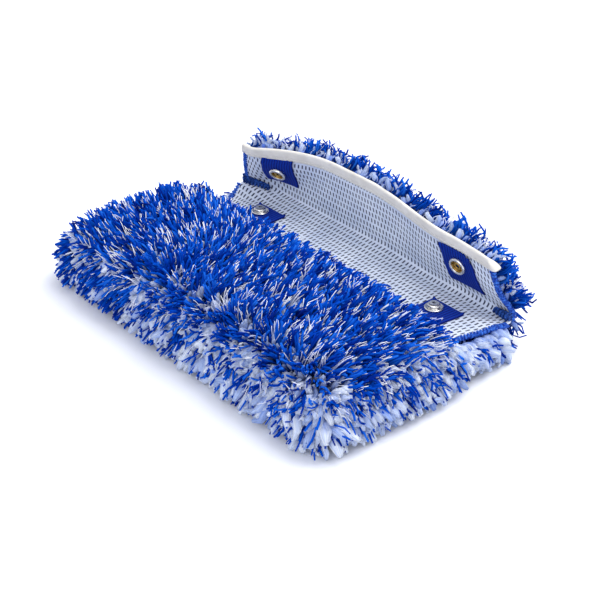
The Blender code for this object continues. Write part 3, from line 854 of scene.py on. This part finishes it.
def rim_pile(rng):
    """The pile that fans out all round the seams, from up over the top to down on the floor."""
    made = []
    low_yarn, high_yarn = 1.35 * YARN_LENGTH, 1.15 * YARN_LENGTH
    long_tuft, low_tuft = 1.7 * TUFT_LENGTH, 1.9 * TUFT_LENGTH
    kinds = (  # with how many are curly, and how far they point down and up, in radians
        (PileKind("blue_low", 480, 5, low_yarn, YARN_R, 4, 5, BLUE, (0.10, 0.8)), 0.3, -1.15, -0.30),
        (PileKind("blue_high", 520, 4, high_yarn, YARN_R, 4, 8, BLUE, (0.2, 0.95)), 0.65, -0.5, 0.95),
        (PileKind("white", 380, 2, 1.1 * YARN_LENGTH, FINE_YARN_R, 3, 6, WHITE, (0.4, 1.0)), 0.5, -0.8, 0.95),
        (PileKind("tufts", 2100, 1, long_tuft, 1.3 * TUFT_R, 8, 5, TUFT, (0.35, 1.0)), 0.4, -0.9, 0.95),
        (PileKind("tufts_low", 1300, 1, low_tuft, 1.45 * TUFT_R, 8, 5, TUFT, (0.35, 1.0)), 0.4, -0.95, -0.15),
    )
    for kind, curly, down, up in kinds:
        spot, out, which = rim_roots(rng, kind)
        brushed = smooth_step(-0.075, 0.0, spot[:, 0])
        share = 0.35 + 0.65 * brushed if "tufts" in kind.name else 1 - 0.42 * brushed
        keep = rng.uniform(size=len(which)) < share
        spot, out, which, brushed = spot[keep], out[keep], which[keep], brushed[keep]
        count = len(which)
        open_side = smooth_step(MOUTH_Y - 4.0 * MM, MOUTH_Y + 4.0 * MM, spot[:, 1])
        tilt = rng.uniform(down, up, kind.locks)[which] + rng.normal(0, 0.12, count)
        lowered = -0.08 - 0.95 * rng.uniform(size=count)
        tilt = np.where(open_side > rng.uniform(size=count), lowered, tilt)
        across = np.stack([-out[:, 1], out[:, 0]], -1)
        swing = rng.normal(0, 0.35, kind.locks)[which][:, None] + rng.normal(0, 0.12, (count, 1))
        flat = out * np.cos(tilt)[:, None] + across * swing
        way = unit(np.column_stack([flat, np.sin(tilt)]))
        start_z = SEAM_Z + np.sin(tilt) * 3.5 * MM - 3.0 * MM * open_side
        inset = (1 - np.cos(tilt)) * 5.0 * MM + rng.uniform(0, 2.0 * MM, count)
        if "low" in kind.name:
            start_z = np.full(count, KNIT_TOP - KNIT)
        if kind.name == "tufts_low":
            inset = -rng.uniform(0.0, 5.0 * MM, count)
            start_z = start_z - rng.uniform(0.0, 9.0 * MM, count)
        start_z = start_z - 4.0 * MM * smooth_step(0.025, 0.048, spot[:, 1])
        roots = np.column_stack([spot - out * inset[:, None], start_z])
        long = kind.length * rng.uniform(0.7, 1.1, count) * (1 - 0.22 * smooth_step(-0.1, 0.8, tilt))
        long = long * (1 - 0.35 * open_side)
        late = unit(way - UP * 0.30 + level(out) * 0.75)
        curly = curly * (0.15 + 0.85 * brushed)
        lines = grow(rng, roots, way, late, long, kind.segments, 0.30, 0.9 * MM, curly)
        made.append(pile_piece(rng, f"rim_pile_{kind.name}", "bottom_pile", kind, lines, which, 0.75))
    return made


def level(flat):
    """Level directions given by x and y, with a height of nothing."""
    return np.pad(flat, ((0, 0), (0, 1)))


def under_pile(rng):
    """The pile under the bottom panel, pressed flat by the mitt's weight and splayed at its edges."""
    made = []
    kinds = (
        PileKind("blue", 820, 6, YARN_LENGTH, YARN_R, 3, 5, BLUE, (0.2, 0.8)),
        PileKind("white", 500, 2, YARN_LENGTH, FINE_YARN_R, 3, 4, WHITE, (0.3, 1.0)),
        PileKind("tufts", 1050, 1, 1.2 * TUFT_LENGTH, 1.2 * TUFT_R, 5, 5, TUFT, (0.2, 0.9)),
    )
    far_y = HINGE[1] + 4.0 * MM  # how far back under the strip it reaches
    low, high = (-HALF_WIDTH, END_Y), (HALF_WIDTH, far_y)
    for kind in kinds:
        spot, which, _ = locks(rng, kind, 1.6 * MM, low, high)
        spot = np.clip(spot, low, high)
        centre = np.array([0.0, (END_Y + far_y) / 2])
        away = (spot - centre) / np.array([HALF_WIDTH, (far_y - END_Y) / 2])
        reach = np.abs(away).max(axis=1)
        lean = unit(away) * (0.5 + 1.3 * smooth_step(0.75, 1.0, reach))[:, None]
        lean = lean + rng.normal(0, 0.35, (kind.locks, 2))[which] + rng.normal(0, 0.15, lean.shape)
        way = unit(level(lean) - UP)
        dip = 4.0 * MM * smooth_step(0.045, 0.062, spot[:, 1])
        roots = np.column_stack([spot, KNIT_TOP - KNIT - dip])
        down = np.broadcast_to(-UP, roots.shape)
        long = kind.length * rng.uniform(0.8, 1.15, len(roots))
        lines = grow(rng, roots, down, way, long, kind.segments, 0.0, 0.6 * MM, 0.1)
        made.append(pile_piece(rng, f"under_pile_{kind.name}", "bottom_pile", kind, lines, which, 0.8))
    return made


def outer_rows(rng, low_row, high_row, share, lean_up, node):
    """Pile on the outer face of the main knit between two of its rows; share scales its counts."""
    made = []
    blue, white, tufts = (int(count * share) for count in (620, 330, 900))
    kinds = (
        PileKind("blue", blue, 5, 0.88 * YARN_LENGTH, 0.9 * YARN_R, 4, 7, BLUE, (0.15, 0.95)),
        PileKind("white", white, 2, YARN_LENGTH, FINE_YARN_R, 3, 5, WHITE, (0.4, 1.0)),
        PileKind("tufts", tufts, 1, 1.1 * TUFT_LENGTH, 0.8 * TUFT_R, 8, 5, TUFT, (0.2, 0.85)),
    )
    for kind in kinds:
        spot, which, offset = locks(rng, kind, 1.0, (low_row, 1.0), (high_row, COLUMNS - 2.0))
        row = np.clip(spot[:, 0] + offset[:, 0] * 0.2, low_row, high_row)
        column = np.clip(spot[:, 1], 0, COLUMNS - 1)
        inner = on_grid(MAIN_GRID, row, column)
        out = -unit(on_grid(MAIN_NORMALS, row, column))
        roots = inner + out * KNIT
        edge = smooth_step(0.100, 0.127, np.abs(inner[:, 0])) * np.sign(inner[:, 0])
        sway = rng.normal(0, 0.5, (kind.locks, 3))[which] + rng.normal(0, 0.2, roots.shape)
        laid_back = 1 - 0.75 * smooth_step(-0.075, -0.015, inner[:, 0])
        way = unit(out + lean_up * laid_back[:, None] + sway + ACROSS * (1.1 * edge)[:, None])
        long = kind.length * rng.uniform(0.75, 1.1, len(roots))
        lines = grow(rng, roots, out, way, long, kind.segments, 0.2, 1.2 * MM, 0.55)
        clear = ((lines - roots[:, None]) * out[:, None]).sum(-1)
        least = np.linspace(0, 2.5 * MM, kind.segments + 1)
        lines = lines + out[:, None] * np.maximum(least - clear, 0)[..., None]
        made.append(pile_piece(rng, f"{node}_{kind.name}", node, kind, lines, which, 0.8))
    return made


# ---------------------------------------------------------------- sewn parts


Stitch = namedtuple("Stitch", "wide thick pitch thread taper", defaults=(0.0,))
EDGE_STITCH = Stitch(1.75 * MM, 1.2 * MM, 2.3 * MM, 0.75 * MM)
MOUTH_STITCH = Stitch(1.6 * MM, 1.0 * MM, 2.3 * MM, 0.7 * MM)
SEAM_STITCH = Stitch(2.0 * MM, 2.2 * MM, 2.2 * MM, 0.5 * MM)
DART_STITCH = Stitch(3.5 * MM, 2.5 * MM, 2.4 * MM, 0.8 * MM, 0.40)


def run_of(line):
    """The length along a line of points at each of them."""
    return np.concatenate([[0], np.cumsum(np.linalg.norm(np.diff(line, axis=0), axis=1))])


def overlock(name, path, normal, stitch):
    """An overlocked edge: a flat core with thread wound over it.

    The path is resampled evenly. The thread's line goes round an ellipse, wide in the cloth's plane
    and thick square to it, once for every pitch; the core is a tube inside it.
    """
    normal = np.broadcast_to(normal, path.shape)
    length = run_of(path)
    turns = max(4, int(length[-1] / stitch.pitch))
    places = turns * 10 + 1
    want = np.linspace(0, length[-1], places)
    line = np.stack([np.interp(want, length, path[:, k]) for k in range(3)], -1)
    up = unit(np.stack([np.interp(want, length, normal[:, k]) for k in range(3)], -1))
    side = unit(np.cross(unit(np.gradient(line, axis=0)), up))
    share = want / length[-1]
    turn = 2 * math.pi * turns * share
    narrow = 1 - stitch.taper * share
    wide = side * (stitch.wide * narrow)[:, None]
    thick = up * (stitch.thick * narrow)[:, None]
    jitter = 1 + 0.10 * np.sin(turn * 0.37) + 0.06 * np.sin(turn * 0.11 + 1.0)
    wound = line + wide * (jitter * np.cos(turn))[:, None] + thick * np.sin(turn)[:, None]
    radii = np.full((1, places), stitch.thread)
    thread = tubes(f"{name}_thread", wound[None], radii, 5, blank_map(places * 5))
    rings = max(8, turns)
    pick = np.linspace(0, places - 1, rings).astype(int)
    around = 2 * math.pi * np.arange(8) / 8
    core = line[pick][:, None] + wide[pick][:, None] * (0.80 * np.cos(around))[:, None]
    core = core + thick[pick][:, None] * (0.75 * np.sin(around))[:, None]
    caps = np.stack([np.arange(8)[::-1], np.arange(8) + (rings - 1) * 8])
    faces = [grid_faces(rings, 8, wrap=True), caps]
    inner = new_mesh(f"{name}_core", core.reshape(-1, 3), faces, blank_map(rings * 8))
    return join([thread, inner])


def join(pieces):
    """Joins pieces into the first of them."""
    bpy.ops.object.select_all(action="DESELECT")
    for piece in pieces:
        piece.select_set(True)
    bpy.context.view_layer.objects.active = pieces[0]
    bpy.ops.object.join()
    return pieces[0]


PATCH_GAP = 0.3 * MM  # how far a patch stands off the knit


def patch(name, target, across=0.0, along=0.0, tuck=0.0):
    """A square of webbing laid on the main knit, over a place on it where a snap goes.

    Its grid follows the knit's rows and columns. Its middle is off that place by across and along,
    and tuck lengthens it at the far end, all in halves of its size. Returns the piece, the snap's
    place on its face and the direction that the face looks in there.
    """
    fine = 27
    trial = np.linspace(-1.2, 1.2, 41)
    miss = np.linalg.norm(MAIN_GRID - target, axis=-1)
    row0, column0 = np.unravel_index(miss.argmin(), miss.shape)
    trial_r, trial_c = np.meshgrid(trial, trial, indexing="ij")
    near = on_grid(MAIN_GRID, row0 + trial_r, column0 + trial_c)
    best = np.unravel_index(np.linalg.norm(near - target, axis=-1).argmin(), trial_r.shape)
    row0, column0 = row0 + trial_r[best], column0 + trial_c[best]
    here, above, beside = on_grid(MAIN_GRID, row0 + np.array([0, 1.0, 0]), column0 + np.array([0, 0, 1.0]))
    row_step = np.linalg.norm(above - here)
    column_step = np.linalg.norm(beside - here)
    a, b = np.meshgrid(np.linspace(-1, 1 + tuck, fine), np.linspace(-1, 1, fine), indexing="ij")
    row = row0 + (a + along) * PATCH_HALF / row_step
    column = column0 + (b + across) * PATCH_HALF / column_step
    under = on_grid(MAIN_GRID, row, column)
    up = unit(on_grid(MAIN_NORMALS, row, column))
    rim = np.maximum(np.abs(a), np.abs(b))
    curl = 0.7 * MM * smooth_step(0.7, 1.0, np.abs(a * b)) * (1 + np.sin(5 * a + 3 * b))
    lift = PATCH_GAP + curl
    over = lift + PATCH_THICK * (1 - 0.45 * smooth_step(0.93, 1.0, rim))
    base = under + up * lift[..., None]
    face = under + up * over[..., None]
    uv = np.stack([b, a], -1) * PATCH_HALF / MM
    normal = on_grid(MAIN_NORMALS, np.array([row0]), np.array([column0]))[0]
    return shell(name, face, base, uv), here + normal * (PATCH_GAP + PATCH_THICK), normal


def turned(name, profile, place, axis, steps=56):
    """A profile of (radius, height) carried once round an axis; closed, with its last ring at the first."""
    axis = np.array(axis, float)
    first = unit(np.cross(axis, ACROSS + 0.01))
    second = np.cross(axis, first)
    turn = 2 * math.pi * np.arange(steps) / steps
    around = first * np.cos(turn)[:, None] + second * np.sin(turn)[:, None]
    profile = np.array(profile)
    points = np.array(place) + around[None] * profile[:, 0, None, None] + axis * profile[:, 1, None, None]
    count = len(profile)
    row, column = np.meshgrid(np.arange(count) * steps, np.arange(steps), indexing="ij")
    beside = (column + 1) % steps
    below = (row + steps) % (count * steps)
    faces = np.stack([row + column, row + beside, below + beside, below + column], -1)
    return new_mesh(name, points.reshape(-1, 3), [faces.reshape(-1, 4)], blank_map(count * steps))


def rounded(profile, radius):
    """A closed profile with each corner cut to a small arc, so that edges catch the light."""
    points = np.array(profile)
    before = np.roll(points, 1, axis=0)
    after = np.roll(points, -1, axis=0)
    out = []
    for a, b, c in zip(before, points, after):
        to_a, to_c = a - b, c - b
        reach = min(radius, 0.45 * np.linalg.norm(to_a), 0.45 * np.linalg.norm(to_c))
        start = b + to_a / np.linalg.norm(to_a) * reach
        end = b + to_c / np.linalg.norm(to_c) * reach
        for t in (0.0, 0.5, 1.0):
            out.append((1 - t) ** 2 * start + 2 * t * (1 - t) * b + t**2 * end)
    return np.array(out)


GROOVE = 0.72  # how far down the tape its stitched groove lies, as a share of its width


def binding_tape():
    """Cream tape folded over the flap's free edge, with its two ends left long.

    Its profile runs up the pocket side, round the edge and down the pile side, and back inside it;
    it is carried along the flap's last row of knit. A stitched groove lies a quarter from its lip. The
    right end curls over and down in a short bend. Returns the piece, its middle line, its upward and
    inward ways along that line and half its thickness.
    """
    steps, end_steps = 150, 13
    last = MAIN_GRID.shape[0] - 1
    columns = np.linspace(0, COLUMNS - 1, steps)
    edge = on_grid(MAIN_GRID, np.full(steps, float(last)), columns)
    below = on_grid(MAIN_GRID, np.full(steps, last - 3.0), columns)
    inward = unit(on_grid(MAIN_NORMALS, np.full(steps, last - 1.0), columns))
    up = unit(edge - below)
    ahead = unit(np.gradient(edge, axis=0))
    tail = np.linspace(0, 1, end_steps + 1)[1:, None]
    curl = 1.35 * tail
    bend = 5.6 * MM
    fall = unit(-up[-1:] * 0.9 - inward[-1:] * 0.15)
    right_tail = edge[-1] + ahead[-1] * (0.3 * MM * tail + bend * np.sin(curl))
    right_tail = right_tail + fall * bend * (1 - np.cos(curl))
    left_tail = edge[0] - ahead[0] * (3.0 * MM * tail) + up[0] * 0.8 * MM * tail
    line = np.concatenate([left_tail[::-1], edge, right_tail])
    turned_up = unit(up[-1:] * np.cos(curl) + ahead[-1:] * np.sin(curl))
    ups = np.concatenate([np.repeat(up[:1], end_steps, 0), up, turned_up])
    ins = np.pad(inward, ((end_steps, end_steps), (0, 0)), mode="edge")
    before_tail = np.ones((end_steps + steps, 1))
    plump = np.concatenate([before_tail, 1 + 0.9 * np.sin(math.pi * 0.62 * tail)])[:, None]
    slim = np.concatenate([before_tail, 1 - 0.36 * smooth_step(0.0, 0.45, tail)])[:, None]
    width = BINDING_WIDTH
    half = KNIT / 2 + TAPE
    wave = np.linspace(-width, 0.0, 13)
    groove = 0.28 * MM * np.exp(-(((wave + GROOVE * width) / (0.45 * MM)) ** 2))
    swell = 0.25 * MM * np.sin(math.pi * (wave + width) / width)
    front = np.stack([wave, half + swell - groove], -1)
    turn = np.linspace(0, math.pi, 9)[1:-1]
    crown = np.stack([(half + 0.2 * MM) * np.sin(turn), half * np.cos(turn)], -1)
    back = np.stack([wave[::-1], -half - swell[::-1]], -1)
    outer = np.concatenate([front, crown, back])
    inner = np.stack([outer[:, 0] - 0.1 * MM, outer[:, 1] * (KNIT / 2 + 0.1 * MM) / half], -1)[::-1]
    inner[:, 0] = np.minimum(inner[:, 0], 0.0)
    profile = np.concatenate([outer, inner])
    middle = line - ins * KNIT / 2
    points = middle[:, None] + ups[:, None] * profile[:, :1] * slim + ins[:, None] * profile[:, 1:] * plump
    count, sides = len(line), len(profile)
    faces = grid_faces(count, sides, wrap=True)[:, ::-1]
    caps = []
    for end in (0, count - 1):
        k = np.arange(len(outer) - 1)
        quad = np.stack([k, k + 1, sides - 2 - k, sides - 1 - k], -1) + end * sides
        caps.append(quad[:, ::-1] if end else quad)
    u, v = np.meshgrid(run_of(line) / MM, run_of(profile) / MM, indexing="ij")
    uv = np.stack([u, v], -1).reshape(-1, 2)
    faces = [np.concatenate([faces] + caps)]
    piece = new_mesh("binding_tape", points.reshape(-1, 3), faces, {"cloth": uv})
    return piece, middle, ups, ins, half


def stitches(name, points, ahead, up):
    """A row of short stitches, 2.2 mm long: each a shallow arch of thread on the cloth."""
    t = np.linspace(-0.5, 0.5, 5)[None, :, None]
    arch = 0.28 * MM - 1.44 * MM * t**2
    lines = points[:, None] + ahead[:, None] * t * 2.2 * MM + up[:, None] * arch
    radii = np.full((len(points), 5), 0.24 * MM)
    return tubes(name, lines, radii, 5, blank_map(len(points) * 5 * 5))


def even_places(line, spacing):
    """Evenly spaced places along a line: fractional positions in its rows."""
    run = run_of(line)
    return np.interp(np.arange(spacing, run[-1] - spacing, spacing), run, np.arange(len(line)))


def at(values, place):
    """Values of rows at fractional places."""
    rows = np.arange(len(values))
    return np.stack([np.interp(place, rows, part) for part in values.T], -1)


# ---------------------------------------------------------------- snaps

# Outlines turned round a snap's axis, as (radius, height above its patch) in millimetres.
RIM_R = SNAP_R / MM
STUD_OUTLINE = (
    (2.1, 0.0), (5.8, 0.0), (RIM_R, 0.3), (RIM_R, 0.9), (5.7, 1.25), (5.1, 1.1), (4.6, 0.45), (3.6, 0.45),
    (3.4, 1.1), (4.3, 1.7), (4.5, 2.4), (4.1, 3.05), (3.2, 3.25), (2.4, 3.1), (2.2, 2.5), (2.1, 2.4),
)
RING_OUTLINE = (
    (5.2, 0.2), (5.6, 0.0), (6.0, 0.0), (RIM_R, 0.5), (RIM_R, 1.7), (6.0, 2.3), (5.4, 2.7), (4.8, 2.55),
    (4.4, 2.1), (4.5, 1.75), (5.2, 1.7),
)
CUP_OUTLINE = (
    (2.1, 0.05), (5.3, 0.05), (5.3, 0.3), (5.1, 0.5), (5.1, 2.0), (4.8, 2.0), (4.5, 0.8), (4.0, 0.45),
    (2.1, 0.45),
)
EYELET_OUTLINE = ((1.3, 0.4), (2.4, 0.4), (2.9, 0.7), (2.9, 1.1), (2.4, 1.5), (1.6, 1.5), (1.3, 1.2))
WIRE_R, WIRE_OUT, WIRE_UP = 0.3, 4.2, 1.45  # the socket's spring wire, and where it lies
CORNER_R = 0.12 * MM  # the small radius on stamped edges
RING_CORNER_R = 0.25 * MM  # and the larger one that the socket's ring is drawn with

# Where each flap patch's snap stands off its place in the model, up the flap, outwards and down, and
# how far the patch lies off its snap and is longer at its far end, in halves of its size.
FLAP_SNAPS = {
    "left": (2.6 * MM, 1.5 * MM, 0.0, -0.20, 0.26),
    "right": (1.9 * MM, 3.0 * MM, 3.4 * MM, -0.34, 0.20),
}


def snap_stud(side, sign):
    """A stud on its patch on the strip."""
    target = np.array([sign * SNAP_X, SNAP_Y, KNIT_TOP])
    piece, seat, facing = patch(f"strip_patch_{side}_webbing", target, 0.28)
    dress(piece, WEBBING, "pad", (f"strip_patch_{side}",))
    piece = turned(f"stud_{side}", rounded(np.array(STUD_OUTLINE) * MM, CORNER_R), seat, facing)
    dress(piece, NICKEL, "pad", (f"snap_stud_{side}",))


def snap_socket(side, sign):
    """A socket on its patch on the flap: a ring, a cup, an eyelet and a spring wire."""
    raised, outward, lowered, along, tuck = FLAP_SNAPS[side]
    target = from_flap(np.array(sign * SNAP_X), np.array(SNAP_HEIGHT + raised), np.array(FLAP_FACE - outward))
    piece, seat, facing = patch(f"flap_patch_{side}_webbing", target - UP * lowered, 0.0, along, tuck)
    dress(piece, WEBBING, "flap", (f"flap_patch_{side}",))
    piece = turned(f"socket_ring_{side}", rounded(np.array(RING_OUTLINE) * MM, RING_CORNER_R), seat, facing)
    dress(piece, NICKEL, "flap", (f"snap_socket_{side}",))
    piece = turned(f"socket_cup_{side}", rounded(np.array(CUP_OUTLINE) * MM, CORNER_R), seat, facing)
    dress(piece, BRASS, "flap")
    piece = turned(f"socket_eyelet_{side}", rounded(np.array(EYELET_OUTLINE) * MM, CORNER_R), seat, facing)
    dress(piece, BRASS, "flap", (f"socket_post_{side}",))
    turn = np.linspace(0, -2 * math.pi, 12, endpoint=False)
    wire = np.stack([WIRE_OUT + WIRE_R * np.cos(turn), WIRE_UP + WIRE_R * np.sin(turn)], -1)
    piece = turned(f"socket_wire_{side}", wire * MM, seat, facing)
    dress(piece, BRASS, "flap", (f"socket_spring_{side}",))


# ---------------------------------------------------------------- build

rng = np.random.default_rng(7)


def blend_crease(piece):
    """Bakes a piece's transform into its mesh."""
    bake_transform(piece)


def blend_top(piece):
    """Bakes the transform of a piece of the top into its mesh."""
    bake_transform(piece)


# The main knit.
main = shell("main_knit", MAIN_GRID, MAIN_GRID - MAIN_NORMALS * KNIT, MAIN_UV)
dress(main, KNIT_CLOTH, replaces=("bottom_backing", "crease_backing", "flap_backing"))
blend_crease(main)

# The top knit, in halves.
MIDDLE_COLUMN = COLUMNS // 2
HALVES = {"left": slice(0, MIDDLE_COLUMN + 1), "right": slice(MIDDLE_COLUMN, None)}
TOP_UV = TOP_GRID[..., :2] / MM
top_sheets = {}
for side, sign in SIDES:
    inner = TOP_GRID[:, HALVES[side]]
    outer = inner + TOP_NORMALS[:, HALVES[side]] * KNIT
    top_sheets[side] = shell(f"top_knit_{side}", outer, inner, TOP_UV[:, HALVES[side]])
    dress(top_sheets[side], KNIT_CLOTH, replaces=("top_backing",))
    blend_top(top_sheets[side])

# Pile.
LAST_ROW = MAIN_GRID.shape[0] - 1
CREASE_LEAN = np.array([0.0, 0.2, -0.2])
top_made = {}
for side, sign in SIDES:
    top_made[side] = top_pile(rng, side, sign)
    for piece in top_made[side]:
        blend_top(piece)
under_made = under_pile(rng) + rim_pile(rng)
for piece in under_made:
    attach(piece, "pad")
crease_made = outer_rows(rng, FLAT_ROWS + 6.0, FLAT_ROWS + 32.0, 0.66, CREASE_LEAN, "crease_pile")
for piece in crease_made:
    blend_crease(piece)
flap_made = outer_rows(rng, FLAT_ROWS + 30.0, LAST_ROW - 0.2, 1.0, UP_FLAP * 0.7, "flap_pile")
for piece in flap_made:
    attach(piece, "flap")

# Binding.
binding, tape_line, tape_up, tape_in, tape_half = binding_tape()
dress(binding, TAPE_CLOTH, "flap", ("flap_binding",))
stitch_line = tape_line - tape_up * GROOVE * BINDING_WIDTH + tape_in * (tape_half - 0.05 * MM)
stitch_place = even_places(stitch_line, 2.9 * MM)
stitch_ahead = unit(at(np.gradient(stitch_line, axis=0), stitch_place))
stitch_up = unit(at(tape_in, stitch_place))
tape_stitches = stitches("binding_stitches", at(stitch_line, stitch_place), stitch_ahead, stitch_up)
dress(tape_stitches, CREAM_THREAD, "flap")

# Overlocked edges of the strip and the flap, and the darts in the corners between them.
STRIP_START = int(np.abs(MAIN_GRID[:, MIDDLE_COLUMN, 1] - MOUTH_Y).argmin()) - 2
DART_COLUMNS = {"left": 9.5, "right": 6.5}  # how far in each dart reaches
for side, sign in SIDES:
    column = 0 if sign < 0 else COLUMNS - 1
    for part, first, stop in (("strip", STRIP_START, STRIP_STOP), ("flap", FLAP_START, LAST_ROW - 3)):
        normals = MAIN_NORMALS[first:stop, column]
        edge = MAIN_GRID[first:stop, column] - normals * KNIT / 2
        piece = overlock(f"{part}_overlock_{side}", edge, normals, EDGE_STITCH)
        dress(piece, SEAM_THREAD, None, (f"{part}_overlock_{side}",))
        blend_crease(piece)
    inward = np.linspace(0, DART_COLUMNS[side], 12)
    columns = np.abs(column - inward)
    row = np.full(12, float(DART_ROW))
    path = on_grid(MAIN_GRID, row, columns) + on_grid(MAIN_NORMALS, row, columns) * 2.4 * MM
    piece = overlock(f"corner_dart_{side}", path, np.array([0.0, 0.9, 0.4]), DART_STITCH)
    dress(piece, DART_THREAD, None, (f"corner_dart_{side}",))
    blend_crease(piece)

# Sewn seams, left, right and at the closed end.
SEAM_INSET = 1.0 * MM
far_x, near_y = HALF_WIDTH - SEAM_INSET, END_Y + SEAM_INSET
seams = (
    ("side_seam_left", (-far_x, END_Y), (-far_x, MOUTH_Y), 40),
    ("side_seam_right", (far_x, END_Y), (far_x, MOUTH_Y), 40),
    ("closed_end_seam", (-HALF_WIDTH, near_y), (HALF_WIDTH, near_y), 60),
)
for name, start, end, count in seams:
    path = np.linspace((*start, SEAM_Z), (*end, SEAM_Z), count)
    piece = overlock(name, path, UP, SEAM_STITCH)
    dress(piece, SEAM_THREAD, "pad", (name,))

# The overlocked mouth, in halves.
for side, sign in SIDES:
    edge = TOP_GRID[-1, HALVES[side]] + UP * KNIT / 2
    piece = overlock(f"mouth_overlock_{side}", edge, TOP_NORMALS[-1, HALVES[side]], MOUTH_STITCH)
    dress(piece, SEAM_THREAD, None, ("mouth_overlock",))
    blend_top(piece)

# Patches and snaps.
for side, sign in SIDES:
    snap_stud(side, sign)
    snap_socket(side, sign)
    for place in frame["nodes"][f"stud_post_{side}"].material_slots:
        place.material = NICKEL

# ---------------------------------------------------------------- floor, light and camera


def floor():
    """A plain pale floor, far wider than the view."""
    material = surface(new_material("floor_paper_white"), Base_Color=linear("#F7F8FB"), Roughness=0.9)
    corners = np.array([[-3.0, -3.0, 0], [3.0, -3.0, 0], [3.0, 3.0, 0], [-3.0, 3.0, 0]])
    piece = new_mesh("floor", corners, [np.array([[0, 1, 2, 3]])], {"cloth": corners[:, :2]})
    piece.data.materials.append(material)


def area_light(name, place, size, power, colour):
    """A square soft light that faces the mitt."""
    light = bpy.data.lights.new(name, "AREA")
    light.size = size
    light.energy = power
    light.color = linear(colour)[:3]
    holder = bpy.data.objects.new(name, light)
    bpy.context.scene.collection.objects.link(holder)
    aim(holder, np.array(place), unit(np.array(place)), 0.0)


def aim(holder, place, back, roll):
    """Turns a light or camera so that its back points along back, with its sides level but for roll."""
    right = unit(np.cross(UP, back))
    up = np.cross(back, right)
    matrix = np.eye(4)
    matrix[:3, 0] = right * math.cos(roll) - up * math.sin(roll)
    matrix[:3, 1] = right * math.sin(roll) + up * math.cos(roll)
    matrix[:3, 2] = back
    matrix[:3, 3] = place
    holder.matrix_world = Matrix(matrix.tolist())


AZIMUTH, ELEVATION, ROLL = (math.radians(angle) for angle in (50.06, 31.0, 0.53))
DISTANCE = 0.902
TARGET = np.array([0.0257, -0.0081, 0.0250])
LENS = 84.72  # in millimetres, as is the sensor
SENSOR = 36.0


def camera():
    """The camera: three quarters from the right of the closed end, looking down 31 degrees."""
    level_way = np.array([math.sin(AZIMUTH), -math.cos(AZIMUTH), 0.0])
    back = level_way * math.cos(ELEVATION) + UP * math.sin(ELEVATION)
    lens = bpy.data.cameras.new("camera")
    lens.lens = LENS
    lens.sensor_width = SENSOR
    holder = bpy.data.objects.new("camera", lens)
    bpy.context.scene.collection.objects.link(holder)
    aim(holder, TARGET + back * DISTANCE, back, ROLL)
    bpy.context.scene.camera = holder


floor()
area_light("key", (0.15, 0.75, 1.15), 1.5, 22.0, "#FFFFFF")
area_light("fill", (0.5, -0.9, 0.7), 1.0, 5.0, "#F4F7FF")
world = bpy.data.worlds.new("studio")
world.use_nodes = True
sky = world.node_tree.nodes["Background"]
sky.inputs["Color"].default_value = linear("#F3F6FF")
sky.inputs["Strength"].default_value = 0.85
bpy.context.scene.world = world
bpy.context.scene.view_settings.view_transform = "Standard"
camera()

bpy.context.view_layer.update()
